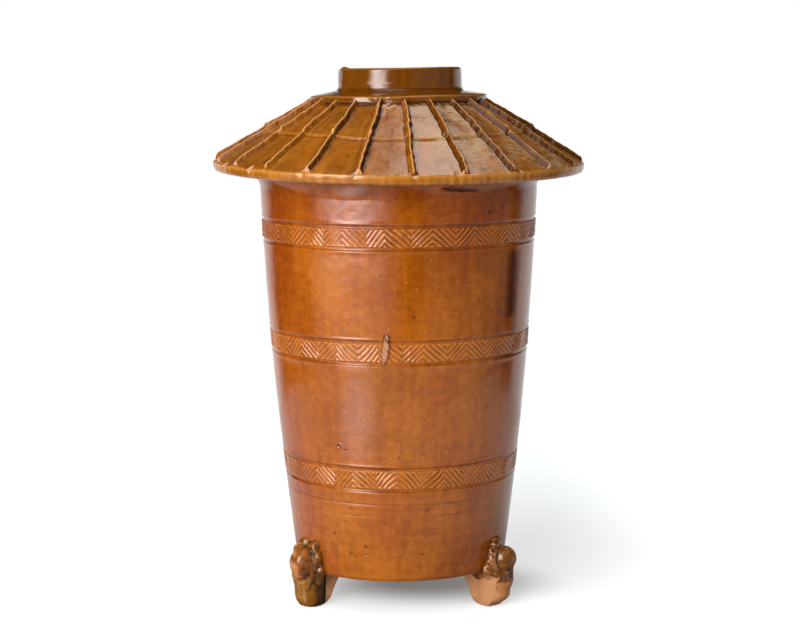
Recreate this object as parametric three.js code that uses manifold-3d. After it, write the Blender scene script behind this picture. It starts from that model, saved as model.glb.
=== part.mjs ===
// A model granary jar in amber-glazed earthenware: a tapering drum on three squatting bear feet, under a
// conical roof of ribbed tiles with a short open collar. The pieces are the ones that a potter forms apart
// and lutes together with slip: base slab, drum wall, eave fillet, roof cone, ridge ring, collar, tube tiles
// and feet. Units are millimetres, Z is up and the jar's axis is Z, the floor is Z = 0 and the front is -Y.
import * as THREE from "three";
import { mergeVertices } from "three/addons/utils/BufferGeometryUtils.js";
import Module from "manifold-3d";

const wasm = await Module();
wasm.setup();

// Driving dimensions
const LUTE_GAP = 0.3; // slip-filled joint between two luted pieces
const ROUND_SEGMENTS = 60; // facets of the drum and roof, a multiple of the three feet and of four
const COLLAR_SEGMENTS = 48;

const BASE_HEIGHT = 20.8; // floor to the underside of the base slab
const BASE_RADIUS = 59.6; // outside of the drum at the base
const BASE_EDGE = 1.8; // rounding of the slab's lower edge
const SLAB_THICKNESS = 8;

const SHOULDER_RADIUS = 78.1; // outside of the drum under the eave
const WALL_BELLY = 2.7; // how far the drum's side bows out at mid height
const WALL_THICKNESS = 7;
const WALL_HEIGHT = 213.2; // top of the slab to the drum's rim

const BAND_HEIGHT = 12.4; // between the centres of a band's two border grooves
const LOW_BAND = 58.9; // middle of the lowest band above the drum's base
const TOP_BAND = 30.5; // middle of the highest band below the drum's rim
const MIDDLE_BAND_SHARE = 0.533; // where the third band stands between the other two
const GROOVE_WIDTH = 1.6;
const GROOVE_DEPTH = 0.8;
const BAND_RELIEF = 0.35; // the impressed field stands proud of the wall

const FILLET_HEIGHT = 6; // roll of clay smoothed in under the eave
const FILLET_WIDTH = 3;
const FILLET_EDGE = 0.8; // thickness of the roll's feathered lower edge

const EAVE_RADIUS = 103.6;
const EAVE_FACE = 5.4; // height of the eave's upright edge
const EAVE_CHAMFER = 1.2;
const ROOF_PITCH = 31.6; // degrees
const ROOF_THICKNESS = 7; // square to the slope
const COURSE_INSET = 26; // from the eave to the line where the upper course overlaps the lower
const COURSE_STEP = 0.6;

const RIDGE_RADIUS = 49.6; // outside of the ring that caps the tiles
const RIDGE_THICKNESS = 5;
const RIDGE_PROUD = 4.1; // how far the top of its edge stands above the roof beside it
const RIDGE_RISE = 2.6; // how much higher the ring is at the collar than at its edge

const COLLAR_RADIUS = 34.1;
const COLLAR_HEIGHT = 12.3;
const COLLAR_THICKNESS = 6;
const COLLAR_FLARE = 1.2; // how far the collar's foot spreads
const LIP_ROUND = 1.4;
const LIP_SHOULDER = 0.3; // share of the rounding at which the lip's facets meet

const TILE_ROWS = 23; // rows of tube tiles round the roof
const FIRST_ROW_ANGLE = 4.2; // degrees from the front to the first row, towards +X
const TILE_WIDTH = 4.6; // at the lower end of a tile
const TILE_CREST = 1; // width of the flat along a tile's crest
const TILE_HAUNCH = 2.8; // width of a tile at its haunch
const TILE_HAUNCH_RISE = 1.8;
const TILE_RISE = 2.9;
const TILE_TAPER = 0.72; // width of a tile's upper end as a share of its lower end
const TILE_SETBACK = 0.6; // from the end of a lower tile to the eave's upright edge

const FOOT_COUNT = 3;
const POST_INSET = 0.4; // middle of a foot inside the drum's edge at the base
const POST_DEPTH = 17.6; // foot at the floor, along the jar's radius
const POST_WIDTH = 16.8;
const POST_FLARE = 1.04; // the foot at the drum's base as a multiple of its size at the floor
const POST_EDGE = 0.78; // the foot's bottom as a share of its size above the worn edge
const POST_EDGE_HEIGHT = 2.2;
const STRUT_REACH = 19; // how far the strut runs in under the base from the foot's middle
const STRUT_WIDTH = 12.5;
const STRUT_HEEL = 7.2; // how far the strut's back stands in from the foot's middle at the floor
const STRUT_SWEEP = 9.9; // and at half height, where the back curves

// The bear's lumps: its middle out from the foot's middle, sideways and up, and its three radii.
// Haunches are measured up from the floor, and the rest from the drum's base.
const HAUNCH = { at: [3.6, 4.2, 12.4], radii: [5.2, 4.6, 8.4] };
const BELLY = { at: [1.6, 0, -4], radii: [7.6, 8.6, 10.6] };
const HEAD = { at: [6, 0, 5.4], radii: [6.7, 6.6, 8] };
const MUZZLE = { at: [8.2, 0, -0.4], radii: [3.9, 3.8, 3.6] };
const EAR = { at: [2.6, 5.6, 10.6], radii: [1.9, 2, 2.3] };
const ARM = { at: [2.6, 7.4, 6.6], radii: [2.8, 2.5, 9.2] };
const CLASPED_HANDS = { at: [3, 0, 13.6], radii: [4.4, 5.8, 4.4] };

// Sizes that follow from them
const slabTop = BASE_HEIGHT + SLAB_THICKNESS;
const wallFoot = slabTop + LUTE_GAP;
const wallTop = wallFoot + WALL_HEIGHT;
const lowBand = BASE_HEIGHT + LOW_BAND;
const topBand = wallTop - TOP_BAND;
const middleBand = THREE.MathUtils.lerp(lowBand, topBand, MIDDLE_BAND_SHARE);

const eaveBottom = wallTop + LUTE_GAP;
const eaveTop = eaveBottom + EAVE_FACE;
const courseRadius = EAVE_RADIUS - COURSE_INSET;
const pitch = THREE.MathUtils.degToRad(ROOF_PITCH);
const roofDrop = ROOF_THICKNESS / Math.cos(pitch);

// The top of the lower course's flat tiles, as a height at a distance from the axis and the other way round.
const slopeHeight = (radius) => eaveTop + (EAVE_RADIUS - radius) * Math.tan(pitch);
const slopeRadius = (height) => EAVE_RADIUS - (height - eaveTop) / Math.tan(pitch);

const ridgeSocket = RIDGE_RADIUS + LUTE_GAP;
const ridgeTop = slopeHeight(RIDGE_RADIUS) + RIDGE_PROUD;
const ridgeSeat = ridgeTop - RIDGE_THICKNESS;
const collarFoot = ridgeTop + RIDGE_RISE + LUTE_GAP;
const collarTop = collarFoot + COLLAR_HEIGHT;
const mouthRadius = COLLAR_RADIUS - COLLAR_THICKNESS;
const postRadius = BASE_RADIUS - POST_INSET;

// Outside of the drum at a height, without bands: a taper that bows out a little.
function wallRadius(height) {
  const t = (height - BASE_HEIGHT) / (wallTop - BASE_HEIGHT);
  return THREE.MathUtils.lerp(BASE_RADIUS, SHOULDER_RADIUS, t) + 4 * WALL_BELLY * t * (1 - t);
}

// Three's lathe turns about Y, so the result is stood up on Z. Profiles run counterclockwise.
function turned(profile, segments = ROUND_SEGMENTS) {
  const points = profile.map(([radius, height]) => new THREE.Vector2(radius, height));
  return new THREE.LatheGeometry(points, segments).rotateX(Math.PI / 2);
}

function turnedRing(profile, segments) {
  return turned([...profile, profile[0]], segments);
}

function mesh(name, geometry, material) {
  const made = new THREE.Mesh(geometry, material);
  made.name = name;
  return made;
}

const glaze = (color, roughness) => new THREE.MeshStandardMaterial({ color, roughness, metalness: 0 });
const amberGlaze = glaze(0xa9571c, 0.22);
const roofGlaze = glaze(0x9a6428, 0.3);
const tileGlaze = glaze(0x9c5c1a, 0.28);
const footGlaze = glaze(0x7a4a18, 0.25);
const bareClay = glaze(0xc07a4c, 0.85);

function baseSlab() {
  return turned([
    [0, BASE_HEIGHT],
    [BASE_RADIUS - BASE_EDGE, BASE_HEIGHT],
    [BASE_RADIUS, BASE_HEIGHT + BASE_EDGE],
    [wallRadius(slabTop), slabTop],
    [0, slabTop],
  ]);
}

// One band's outline, low to high: border groove, proud field, border groove.
function bandOutline(middle) {
  const halfGroove = GROOVE_WIDTH / 2;
  const low = middle - BAND_HEIGHT / 2;
  const high = middle + BAND_HEIGHT / 2;
  return [
    [low - halfGroove, 0],
    [low, -GROOVE_DEPTH],
    [low + halfGroove, BAND_RELIEF],
    [high - halfGroove, BAND_RELIEF],
    [high, -GROOVE_DEPTH],
    [high + halfGroove, 0],
  ].map(([height, out]) => [wallRadius(height) + out, height]);
}

function drumWall() {
  const outside = [
    [wallRadius(wallFoot), wallFoot],
    ...[lowBand, middleBand, topBand].flatMap(bandOutline),
    [wallRadius(wallTop), wallTop],
  ];
  const insideHeights = [wallTop, (wallTop + wallFoot) / 2, wallFoot];
  const inside = insideHeights.map((height) => [wallRadius(height) - WALL_THICKNESS, height]);
  return turnedRing([...outside, ...inside]);
}

function eaveFillet() {
  const top = eaveBottom - LUTE_GAP;
  const bottom = top - FILLET_HEIGHT;
  const seat = (height) => wallRadius(height) + LUTE_GAP;
  return turnedRing([
    [seat(bottom), bottom],
    [seat(bottom) + FILLET_EDGE, bottom],
    [seat(top) + (FILLET_EDGE + FILLET_WIDTH) / 2, top - FILLET_HEIGHT / 2],
    [seat(top) + FILLET_WIDTH, top],
    [seat(top), top],
  ]);
}

function roofCone() {
  const seatInside = wallRadius(wallTop) - WALL_THICKNESS;
  const ridgeShelf = ridgeSeat - LUTE_GAP;
  return turnedRing([
    [seatInside, eaveBottom],
    [EAVE_RADIUS - EAVE_CHAMFER, eaveBottom],
    [EAVE_RADIUS, eaveBottom + EAVE_CHAMFER],
    [EAVE_RADIUS, eaveTop],
    [courseRadius, slopeHeight(courseRadius)],
    [courseRadius, slopeHeight(courseRadius) + COURSE_STEP],
    [ridgeSocket, slopeHeight(ridgeSocket) + COURSE_STEP],
    [ridgeSocket, ridgeShelf],
    [slopeRadius(ridgeShelf + roofDrop), ridgeShelf],
    [seatInside, slopeHeight(seatInside) - roofDrop],
  ]);
}

function ridgeRing() {
  const collarSeat = COLLAR_RADIUS + COLLAR_FLARE + LUTE_GAP;
  return turnedRing([
    [mouthRadius, ridgeSeat],
    [RIDGE_RADIUS, ridgeSeat],
    [RIDGE_RADIUS, ridgeTop],
    [collarSeat, ridgeTop + RIDGE_RISE],
    [mouthRadius, ridgeTop + RIDGE_RISE],
  ]);
}

function mouthCollar() {
  return turnedRing(
    [
      [mouthRadius, collarFoot],
      [COLLAR_RADIUS + COLLAR_FLARE, collarFoot],
      [COLLAR_RADIUS, collarFoot + 2 * COLLAR_FLARE],
      [COLLAR_RADIUS, collarTop - LIP_ROUND],
      [COLLAR_RADIUS - LIP_ROUND * LIP_SHOULDER, collarTop - LIP_ROUND * LIP_SHOULDER],
      [COLLAR_RADIUS - LIP_ROUND, collarTop],
      [mouthRadius + LIP_ROUND, collarTop],
      [mouthRadius, collarTop - LIP_ROUND],
    ],
    COLLAR_SEGMENTS,
  );
}

// A tube tile lies along +Z of its own frame with its flat underside on Y = 0. It widens down the roof, and
// its ends are plumb once it lies in the slope.
function tubeTile(length) {
  const half = [
    [TILE_WIDTH / 2, 0],
    [TILE_HAUNCH / 2, TILE_HAUNCH_RISE],
    [TILE_CREST / 2, TILE_RISE],
  ];
  const mirrored = half.map(([x, y]) => [-x, y]).reverse();
  const outline = new THREE.Shape([...half, ...mirrored].map(([x, y]) => new THREE.Vector2(x, y)));
  const tile = new THREE.ExtrudeGeometry(outline, { depth: length, steps: 1, bevelEnabled: false });
  const position = tile.getAttribute("position");
  for (let i = 0; i < position.count; i++) {
    const along = position.getZ(i);
    position.setX(i, position.getX(i) * THREE.MathUtils.lerp(TILE_TAPER, 1, along / length));
    position.setZ(i, along - position.getY(i) * Math.tan(pitch));
  }
  return tile;
}

// A row of tiles in the roof's slope: the group turns about the jar's axis, and each tile runs downhill.
function tileRow(index) {
  const row = new THREE.Group();
  row.rotation.z = THREE.MathUtils.degToRad(FIRST_ROW_ANGLE + (index * 360) / TILE_ROWS - 90);
  const downhill = new THREE.Vector3(Math.cos(pitch), 0, -Math.sin(pitch));
  const up = new THREE.Vector3(Math.sin(pitch), 0, Math.cos(pitch));
  const across = new THREE.Vector3().crossVectors(up, downhill);
  const lie = new THREE.Matrix4().makeBasis(across, up, downhill);
  const courses = [
    { name: "upper", top: ridgeSocket, bottom: courseRadius, lift: COURSE_STEP },
    { name: "lower", top: courseRadius + LUTE_GAP, bottom: EAVE_RADIUS - TILE_SETBACK, lift: 0 },
  ];
  const number = String(index + 1).padStart(2, "0");
  for (const { name, top, bottom, lift } of courses) {
    const geometry = tubeTile((bottom - top) / Math.cos(pitch));
    const tile = mesh(`tube_tile_${name}_${number}`, geometry, tileGlaze);
    tile.quaternion.setFromRotationMatrix(lie);
    tile.position.set(top, 0, slopeHeight(top) + lift + LUTE_GAP);
    row.add(tile);
  }
  return row;
}

function solidOf(geometry) {
  const bare = (geometry.index ? geometry.toNonIndexed() : geometry).clone();
  bare.deleteAttribute("normal");
  bare.deleteAttribute("uv");
  const merged = mergeVertices(bare, 1e-4);
  return new wasm.Manifold(
    new wasm.Mesh({
      numProp: 3,
      vertProperties: new Float32Array(merged.getAttribute("position").array),
      triVerts: new Uint32Array(merged.index.array),
    }),
  );
}

function geometryOf(solid) {
  const { vertProperties, triVerts } = solid.getMesh();
  const made = new THREE.BufferGeometry();
  made.setAttribute("position", new THREE.BufferAttribute(new Float32Array(vertProperties), 3));
  made.setIndex([...triVerts]);
  made.computeVertexNormals();
  return made;
}

// A ball squashed to three radii, at its place on the foot. A lump off the middle line comes twice.
function lumps({ at: [out, aside, up], radii }, floor, around = 10, down = 6) {
  const sides = aside === 0 ? [0] : [-aside, aside];
  return sides.map((across) => {
    const ball = new THREE.SphereGeometry(1, around, down).rotateX(Math.PI / 2);
    return solidOf(ball.scale(...radii).translate(postRadius + out, across, floor + up));
  });
}

// What the foot must clear: the slab and drum, a lute gap larger, from the base up to the lowest band.
function drumEnvelope() {
  const underside = BASE_HEIGHT - LUTE_GAP;
  return solidOf(
    turned([
      [0, underside],
      [BASE_RADIUS - BASE_EDGE + LUTE_GAP / 2, underside],
      [BASE_RADIUS + LUTE_GAP, BASE_HEIGHT + BASE_EDGE - LUTE_GAP / 2],
      [wallRadius(slabTop) + LUTE_GAP, slabTop],
      [wallRadius(lowBand) + LUTE_GAP, lowBand],
      [0, lowBand],
    ]),
  );
}

// The strut behind the bear sweeps in under the base.
function strut() {
  const top = BASE_HEIGHT + BASE_EDGE;
  const side = new THREE.Shape();
  side.moveTo(postRadius, 0);
  side.lineTo(postRadius, top);
  side.lineTo(postRadius - STRUT_REACH, top);
  side.lineTo(postRadius - STRUT_REACH, BASE_HEIGHT - 2 * LUTE_GAP);
  side.quadraticCurveTo(postRadius - STRUT_SWEEP, BASE_HEIGHT / 2, postRadius - STRUT_HEEL, 0);
  const plate = new THREE.ExtrudeGeometry(side, { depth: STRUT_WIDTH, curveSegments: 5, bevelEnabled: false });
  return solidOf(plate.translate(0, 0, -STRUT_WIDTH / 2).rotateX(Math.PI / 2));
}

function post() {
  const height = BASE_HEIGHT + BASE_EDGE;
  const profile = [
    [0, 0],
    [POST_EDGE, 0],
    [1, POST_EDGE_HEIGHT],
    [POST_FLARE, height],
    [0, height],
  ];
  return solidOf(turned(profile, 20).scale(POST_DEPTH / 2, POST_WIDTH / 2, 1).translate(postRadius, 0, 0));
}

// A squatting bear that faces +X and carries the drum on its back, cut to the drum above and the floor below.
function bearFoot() {
  const pieces = [
    strut(),
    ...lumps(BELLY, BASE_HEIGHT, 12, 8),
    ...lumps(HEAD, BASE_HEIGHT, 12, 8),
    ...lumps(MUZZLE, BASE_HEIGHT),
    ...lumps(EAR, BASE_HEIGHT, 8),
    ...lumps(ARM, BASE_HEIGHT, 8),
    ...lumps(CLASPED_HANDS, BASE_HEIGHT),
    ...lumps(HAUNCH, 0, 12, 8),
  ];
  const whole = pieces.reduce((bear, piece) => bear.add(piece), post());
  const reach = 2 * postRadius;
  const underFloor = new THREE.BoxGeometry(reach, reach, BASE_HEIGHT).translate(postRadius, 0, -BASE_HEIGHT / 2);
  return geometryOf(whole.subtract(drumEnvelope()).subtract(solidOf(underFloor)));
}

const jar = new THREE.Group();
jar.add(
  mesh("base_slab", baseSlab(), bareClay),
  mesh("drum_wall", drumWall(), amberGlaze),
  mesh("eave_fillet", eaveFillet(), amberGlaze),
  mesh("roof_cone", roofCone(), roofGlaze),
  mesh("ridge_ring", ridgeRing(), roofGlaze),
  mesh("mouth_collar", mouthCollar(), roofGlaze),
);
for (let i = 0; i < TILE_ROWS; i++) jar.add(tileRow(i));

// The first foot stands 60 degrees right of the front, and the others follow round by the back.
const bear = bearFoot();
const footPlaces = ["right", "back", "left"];
footPlaces.forEach((place, i) => {
  const foot = mesh(`bear_foot_${place}`, bear, footGlaze);
  foot.rotation.z = THREE.MathUtils.degToRad(180 / FOOT_COUNT - 90 + (i * 360) / FOOT_COUNT);
  jar.add(foot);
});

export default jar;
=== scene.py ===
"""A model granary jar in amber-glazed earthenware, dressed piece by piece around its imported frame.

Shapes are worked out in millimetres and made metres when a piece is finished. Angles go round the jar's
axis from its front, -Y, towards +X."""
import math
from math import radians

import bmesh
import bpy
import numpy as np
from mathutils import Matrix, Vector, noise


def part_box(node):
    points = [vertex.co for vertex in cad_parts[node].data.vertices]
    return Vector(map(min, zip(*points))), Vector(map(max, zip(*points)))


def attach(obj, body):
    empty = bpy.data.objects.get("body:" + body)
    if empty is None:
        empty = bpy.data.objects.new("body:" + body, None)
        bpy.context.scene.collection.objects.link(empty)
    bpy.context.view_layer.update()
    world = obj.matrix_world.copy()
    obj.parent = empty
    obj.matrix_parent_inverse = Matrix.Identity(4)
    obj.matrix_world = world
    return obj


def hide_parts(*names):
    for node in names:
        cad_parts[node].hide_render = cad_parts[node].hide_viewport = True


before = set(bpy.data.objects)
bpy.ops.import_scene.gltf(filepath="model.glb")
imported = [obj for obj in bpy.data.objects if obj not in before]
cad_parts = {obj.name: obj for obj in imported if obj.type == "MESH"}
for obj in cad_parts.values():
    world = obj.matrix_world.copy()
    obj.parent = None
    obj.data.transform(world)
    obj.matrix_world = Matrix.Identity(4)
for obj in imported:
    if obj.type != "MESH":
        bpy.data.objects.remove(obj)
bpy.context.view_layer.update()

MM = 0.001
FULL_TURN = 2 * math.pi


def span(node, axis):
    """The lowest and highest reach of a frame node along an axis, in millimetres."""
    low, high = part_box(node)
    return low[axis] / MM, high[axis] / MM


# Sizes read from the frame
BASE, SLAB_TOP = span("base_slab", 2)
RIM = span("drum_wall", 2)[1]
EAVE_BOTTOM = span("roof_cone", 2)[0]
EAVE_RADIUS = span("roof_cone", 0)[1]
RIDGE_SEAT, RIDGE_CREST = span("ridge_ring", 2)
RIDGE_RADIUS = span("ridge_ring", 0)[1]
COLLAR_TOP = span("mouth_collar", 2)[1]

# Drum
BASE_RADIUS = 59.6
BASE_EDGE = 1.8
SHOULDER_RADIUS = 78.1
WALL_BELLY = 2.7
WALL_THICKNESS = 7.0
WALL_STEPS = 384
ROW_STEP = 1.35
FINE_STEP = 0.55
FINE_ROWS = ((158.5, 161.5), (94.3, 99.5), (222.5, 227.0), (57.6, 67.0), (35.2, 38.2))  # where marks lie
GROOVE_ROWS = (-0.9, -0.3, 0, 0.3, 0.6, 0.9, 1.2, 1.6, 2.1)  # from the inner edge of a border groove
SCORED_LINES = (58.8, 65.6)  # heights of the turning lines scored round the drum's foot

# Bands: middle height, zigzags round the drum, angle of one downward point in degrees
BANDS = {"low": (79.7, 17, -11.4), "middle": (150.1, 19, 1.0), "high": (211.8, 20, 4.5)}
BORDER = 6.2  # from a band's middle to its border groove
BORDER_WIDTH = 1.0
BORDER_DEPTH = 0.55
FIELD = 5.5  # half height of the stamped field
RIDGE_SPACING = 3.3  # between the stamped ridges, measured straight up
RIDGE_RELIEF = 0.42
BAND_STEPS = 1440
BAND_ROW = 0.3
BLUR_ANGLE = -25.5  # in degrees, where the stamp slipped on the high band
BLUR_WIDTH = radians(5.0)

# A crescent gouged down across the middle band, through the glaze to the clay
SCAR_ANGLE = -6.2
SCAR_HEIGHT = 152.4
SCAR_HALF_HEIGHT = 8.4
SCAR_LEAN = 0.95  # how far its tips stand to the right above and to the left below
SCAR_BULGE = 2.7  # of its right edge at mid height
SCAR_HOLLOW = 0.9  # of its left edge
SCAR_DEPTH = 1.3

# A dark streak, and a patch of redder glaze
STREAK_ANGLE = 55
STREAK_WIDTH = radians(6.0)
STREAK_END = 163.5
PATCH_ANGLE = 21.5
PATCH_HEIGHT = 134

PITS = [  # burst bubbles and specks in the glaze: angle in degrees, height, radius and depth
    (-28.7, 97.7, 1.1, 0.7), (-25.6, 95.5, 0.7, 0.4), (6.2, 169.8, 0.6, 0.3), (-15.6, 170.6, 0.4, 0.2),
    (-19.5, 128.6, 0.4, 0.2), (-20.3, 135.6, 0.4, 0.2), (-0.5, 93.2, 0.6, 0.3), (25.4, 123.3, 0.5, 0.2),
    (42.3, 117.4, 0.6, 0.3), (55.3, 108.5, 0.6, 0.3), (61.6, 117.7, 0.4, 0.2), (-37.0, 123.4, 0.4, 0.2),
    (38.3, 224.3, 0.9, 0.5), (27.7, 224.4, 0.5, 0.3), (45.5, 225.9, 0.7, 0.3), (-17.8, 41.0, 0.8, 0.5),
    (-120.0, 120.0, 0.9, 0.6), (150.0, 175.0, 0.7, 0.4), (-163.0, 60.0, 0.8, 0.5), (104.0, 103.0, 0.7, 0.4),
]

SCRATCHES = [  # nicks and short cracks: angle and height of both ends, width and depth
    (12.4, 61.8, 15.2, 63.4, 0.4, 0.25), (-25.4, 62.9, -22.9, 62.5, 0.4, 0.25),
    (-19.6, 36.3, -16.4, 36.8, 0.55, 0.5), (-26.2, 36.6, -24.8, 36.0, 0.45, 0.3),
    (10.4, 37.4, 12.2, 37.1, 0.45, 0.3), (-34.9, 46.6, -34.4, 48.6, 0.5, 0.3),
    (-28.4, 54.9, -27.4, 54.7, 0.4, 0.3), (9.6, 53.8, 9.9, 52.9, 0.4, 0.3),
    (-4.9, 28.6, -4.2, 28.2, 0.4, 0.4), (128.0, 62.0, 133.0, 60.0, 0.5, 0.4),
    (-142.0, 37.0, -138.0, 38.0, 0.5, 0.4), (76.0, 36.0, 79.0, 37.0, 0.5, 0.3),
]
SCRATCH_RADIUS = 66  # of the drum where most of them lie

# The roll of clay under the eave, and the slit in it
ROLL_REACH = 4.0
ROLL_HEIGHT = 8
ROLL_DROOP = 3.4
DROOP_ANGLE = -8
SLIT_ANGLE = 24.5
SLIT_HALF_ANGLE = 8
SLIT_DROP = 4.7  # of its middle below the eave

# Roof
EAVE_FACE = 5.4
ROOF_PITCH = radians(31.6)
ROOF_THICKNESS = 7.0
EAVE_TOP = EAVE_BOTTOM + EAVE_FACE
COURSE_RADIUS = EAVE_RADIUS - 26.0
COURSE_STEP = 0.8
ROOF_STEPS = 900
ROOF_ROW = 0.8
PANEL_DISH = 0.35
RUIN_ANGLE = -7  # where the ridge ring and the roof below it are abraded
RUIN_WIDTH = 7.0

CHIPS = [  # along the eave's upper edge: angle in degrees, width and depth
    (-49.5, 2.2, 1.2), (-28.8, 1.8, 0.8), (-11.9, 2.0, 0.9), (4.0, 2.2, 1.0), (-66.0, 3.0, 1.0),
    (-78.0, 4.0, 1.4), (17.0, 1.4, 0.4), (38.0, 1.6, 0.4), (62.0, 2.0, 0.7), (97.0, 3.4, 1.2),
    (141.0, 2.6, 0.9), (-120.0, 3.6, 1.3), (-152.0, 2.2, 0.8), (174.0, 4.2, 1.2),
]

# Tube tiles
TILE_ROWS = 23
FIRST_ROW = 4.2  # in degrees
ROW_PITCH = FULL_TURN / TILE_ROWS
TILE_WIDTH = 5.0
TILE_TAPER = 0.78
TILE_RISE = 2.9
TILE_SETBACK = 0.7
CREST_SHIFT = 0.2  # the crest leans to one side by this share of the half width
TILE_ENDS = {"upper": (RIDGE_RADIUS - 1.2, COURSE_RADIUS - 0.6),
             "lower": (COURSE_RADIUS - 3.2, EAVE_RADIUS - TILE_SETBACK)}

# Ridge ring and collar
RIDGE_RISE = 2.6
COLLAR_RADIUS = 34.1
COLLAR_THICKNESS = 6.0
MOUTH_RADIUS = COLLAR_RADIUS - COLLAR_THICKNESS
COLLAR_SHIFT = 0.9  # the collar was set on a little off the axis, towards +X
COLLAR_FOOT = RIDGE_CREST - 0.5
COLLAR_STEPS = 384
LUMP_ANGLE = -72  # of a small lump on the collar's lip

# Feet
POST_RADIUS = 59.2
POST_WIDTH = 8.5
STRUT_HALF_WIDTH = 6.0
FOOT_VOXEL = 0.42
FOOT_SMOOTHING = 12
FOOT_ANGLES = {"right": radians(60), "back": radians(180), "left": radians(-60)}

# Camera, solved from how far the bands and the eave sag in the photograph
CAMERA_PLACE = (1.0 * MM, -985.9 * MM, 298.06 * MM)
CAMERA_TILT = radians(81.911)
CAMERA_ROLL = radians(0.27)
CAMERA_LENS = 78.5
CAMERA_SENSOR = 36

# Lamps: azimuth from the front in degrees, distance, height, width and height of the face, glow, and whether
# the glaze mirrors them
LAMPS = {
    "left_softbox": (-31, 1.2, 0.42, 1.12, 0.9, 5.7, False),
    "left_fill": (-95, 1.2, 0.25, 0.7, 0.9, 2.2, False),
    "back_fill": (165, 1.3, 0.3, 1.2, 1.0, 1.2, False),
    "right_fill": (63, 1.2, 0.1, 2.1, 1.6, 0.25, True),
    "top_softbox": (-30, 0.6, 1.5, 1.0, 1.0, 1.3, True),
}

# Painted on the floor, in metres: a shade under the jar, one behind its right side, and a gleam at its left
SHADE_MIDDLE = (0.009, 0.012, 0)
SHADE_DEPTH = 0.5
LEE_MIDDLE = (0.095, 0.055, 0)
LEE_DEPTH = 0.19
GLEAM_MIDDLE = (-0.225, -0.30, 0)
GLEAM_GLOW = 2.8

# Painted on the surroundings, for the glaze to mirror
WALL_GLOW = 0.9
CEILING_PATCH = (0.16, 0.38, 0.91)  # its direction
CEILING_GLOW = 4.0
WINDOW_AZIMUTH = -0.72  # in radians
WINDOW_GLOW = 13.0
HAZE_GLOW = 1.0
DARK_GLOW = 0.02

# Glazes in linear light: thin on an edge, as laid, thick, and pooled in a hollow
AMBER = ((0.57, 0.21, 0.040), (0.44, 0.122, 0.006), (0.30, 0.070, 0.002), (0.11, 0.021, 0.002))
RUST = ((0.47, 0.13, 0.012), (0.36, 0.072, 0.002), (0.23, 0.040, 0.001), (0.08, 0.012, 0.001))
OCHRE = ((0.49, 0.19, 0.024), (0.385, 0.116, 0.003), (0.27, 0.076, 0.001), (0.09, 0.026, 0.001))
TILE = ((0.62, 0.30, 0.10), (0.385, 0.122, 0.004), (0.27, 0.080, 0.002), (0.036, 0.012, 0.001))
UMBER = ((0.32, 0.12, 0.015), (0.205, 0.056, 0.001), (0.13, 0.036, 0.001), (0.045, 0.012, 0.001))
OLIVE = ((0.54, 0.31, 0.110), (0.26, 0.092, 0.002), (0.125, 0.050, 0.001), (0.022, 0.010, 0.001))
MAUVE = ((0.54, 0.20, 0.060), (0.25, 0.070, 0.012), (0.13, 0.032, 0.004), (0.034, 0.008, 0.001))
FILM = (0.47, 0.32, 0.15)
FILM_DULLNESS = 0.22
BARE_CLAY = (0.53, 0.245, 0.11)
WORN_CLAY = (0.56, 0.28, 0.16)
INNER_CLAY = (0.30, 0.12, 0.05)
CLAY_ROUGHNESS = 0.78
GLAZE_INDEX = 1.5
SPECK = (0.035, 0.010, 0.003)
PINHOLE = (0.60, 0.32, 0.11)
PAPER = (0.62, 0.62, 0.62)
PAPER_BOUNCE = (0.30, 0.30, 0.30)


# Fields round the jar

def ripple(angle, height, seed, turns=6, tall=0.05, waves=14):
    """A smooth wandering field of about -1 to 1 that closes round the jar, summed from seeded waves."""
    draw = np.random.default_rng(seed)
    total = 0
    for _ in range(waves):
        around = draw.integers(-turns, turns + 1)
        total = total + np.sin(around * angle + draw.normal(0, tall) * height + draw.uniform(0, FULL_TURN))
    return total / math.sqrt(2 * waves)


def smooth(value, low, high):
    """A soft step from 0 at low to 1 at high, either of which may be the larger."""
    share = np.clip((value - low) / (high - low), 0, 1)
    return share * share * (3 - 2 * share)


def bump(value, middle, width):
    """A bell of height 1."""
    return np.exp(-(((value - middle) / width) ** 2))


def turned_by(angle, middle):
    """The short way round to angle from a middle given in degrees."""
    return (angle - radians(middle) + math.pi) % FULL_TURN - math.pi


def wall_radius(height):
    """Outside of the drum without bands: a taper that bows out a little."""
    share = (height - BASE) / (RIM - BASE)
    return BASE_RADIUS + (SHOULDER_RADIUS - BASE_RADIUS) * share + 4 * WALL_BELLY * share * (1 - share)


def wall_wander(angle, height):
    """How the hand-turned surface leaves the true shape: slow lumps, turning rings and fine waviness."""
    slow = 0.22 * ripple(angle, height, 3, turns=3, tall=0.02)
    middle = 0.06 * ripple(angle, height, 4, turns=18, tall=0.16, waves=26)
    fine = 0.022 * ripple(angle, height, 5, turns=70, tall=0.7, waves=40)
    rings = 0.045 * np.sin(height * 0.9 + 1.5 * ripple(angle, height, 6, turns=2, tall=0.02))
    return slow + middle + fine + rings * smooth(height, 120, 60)


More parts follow.
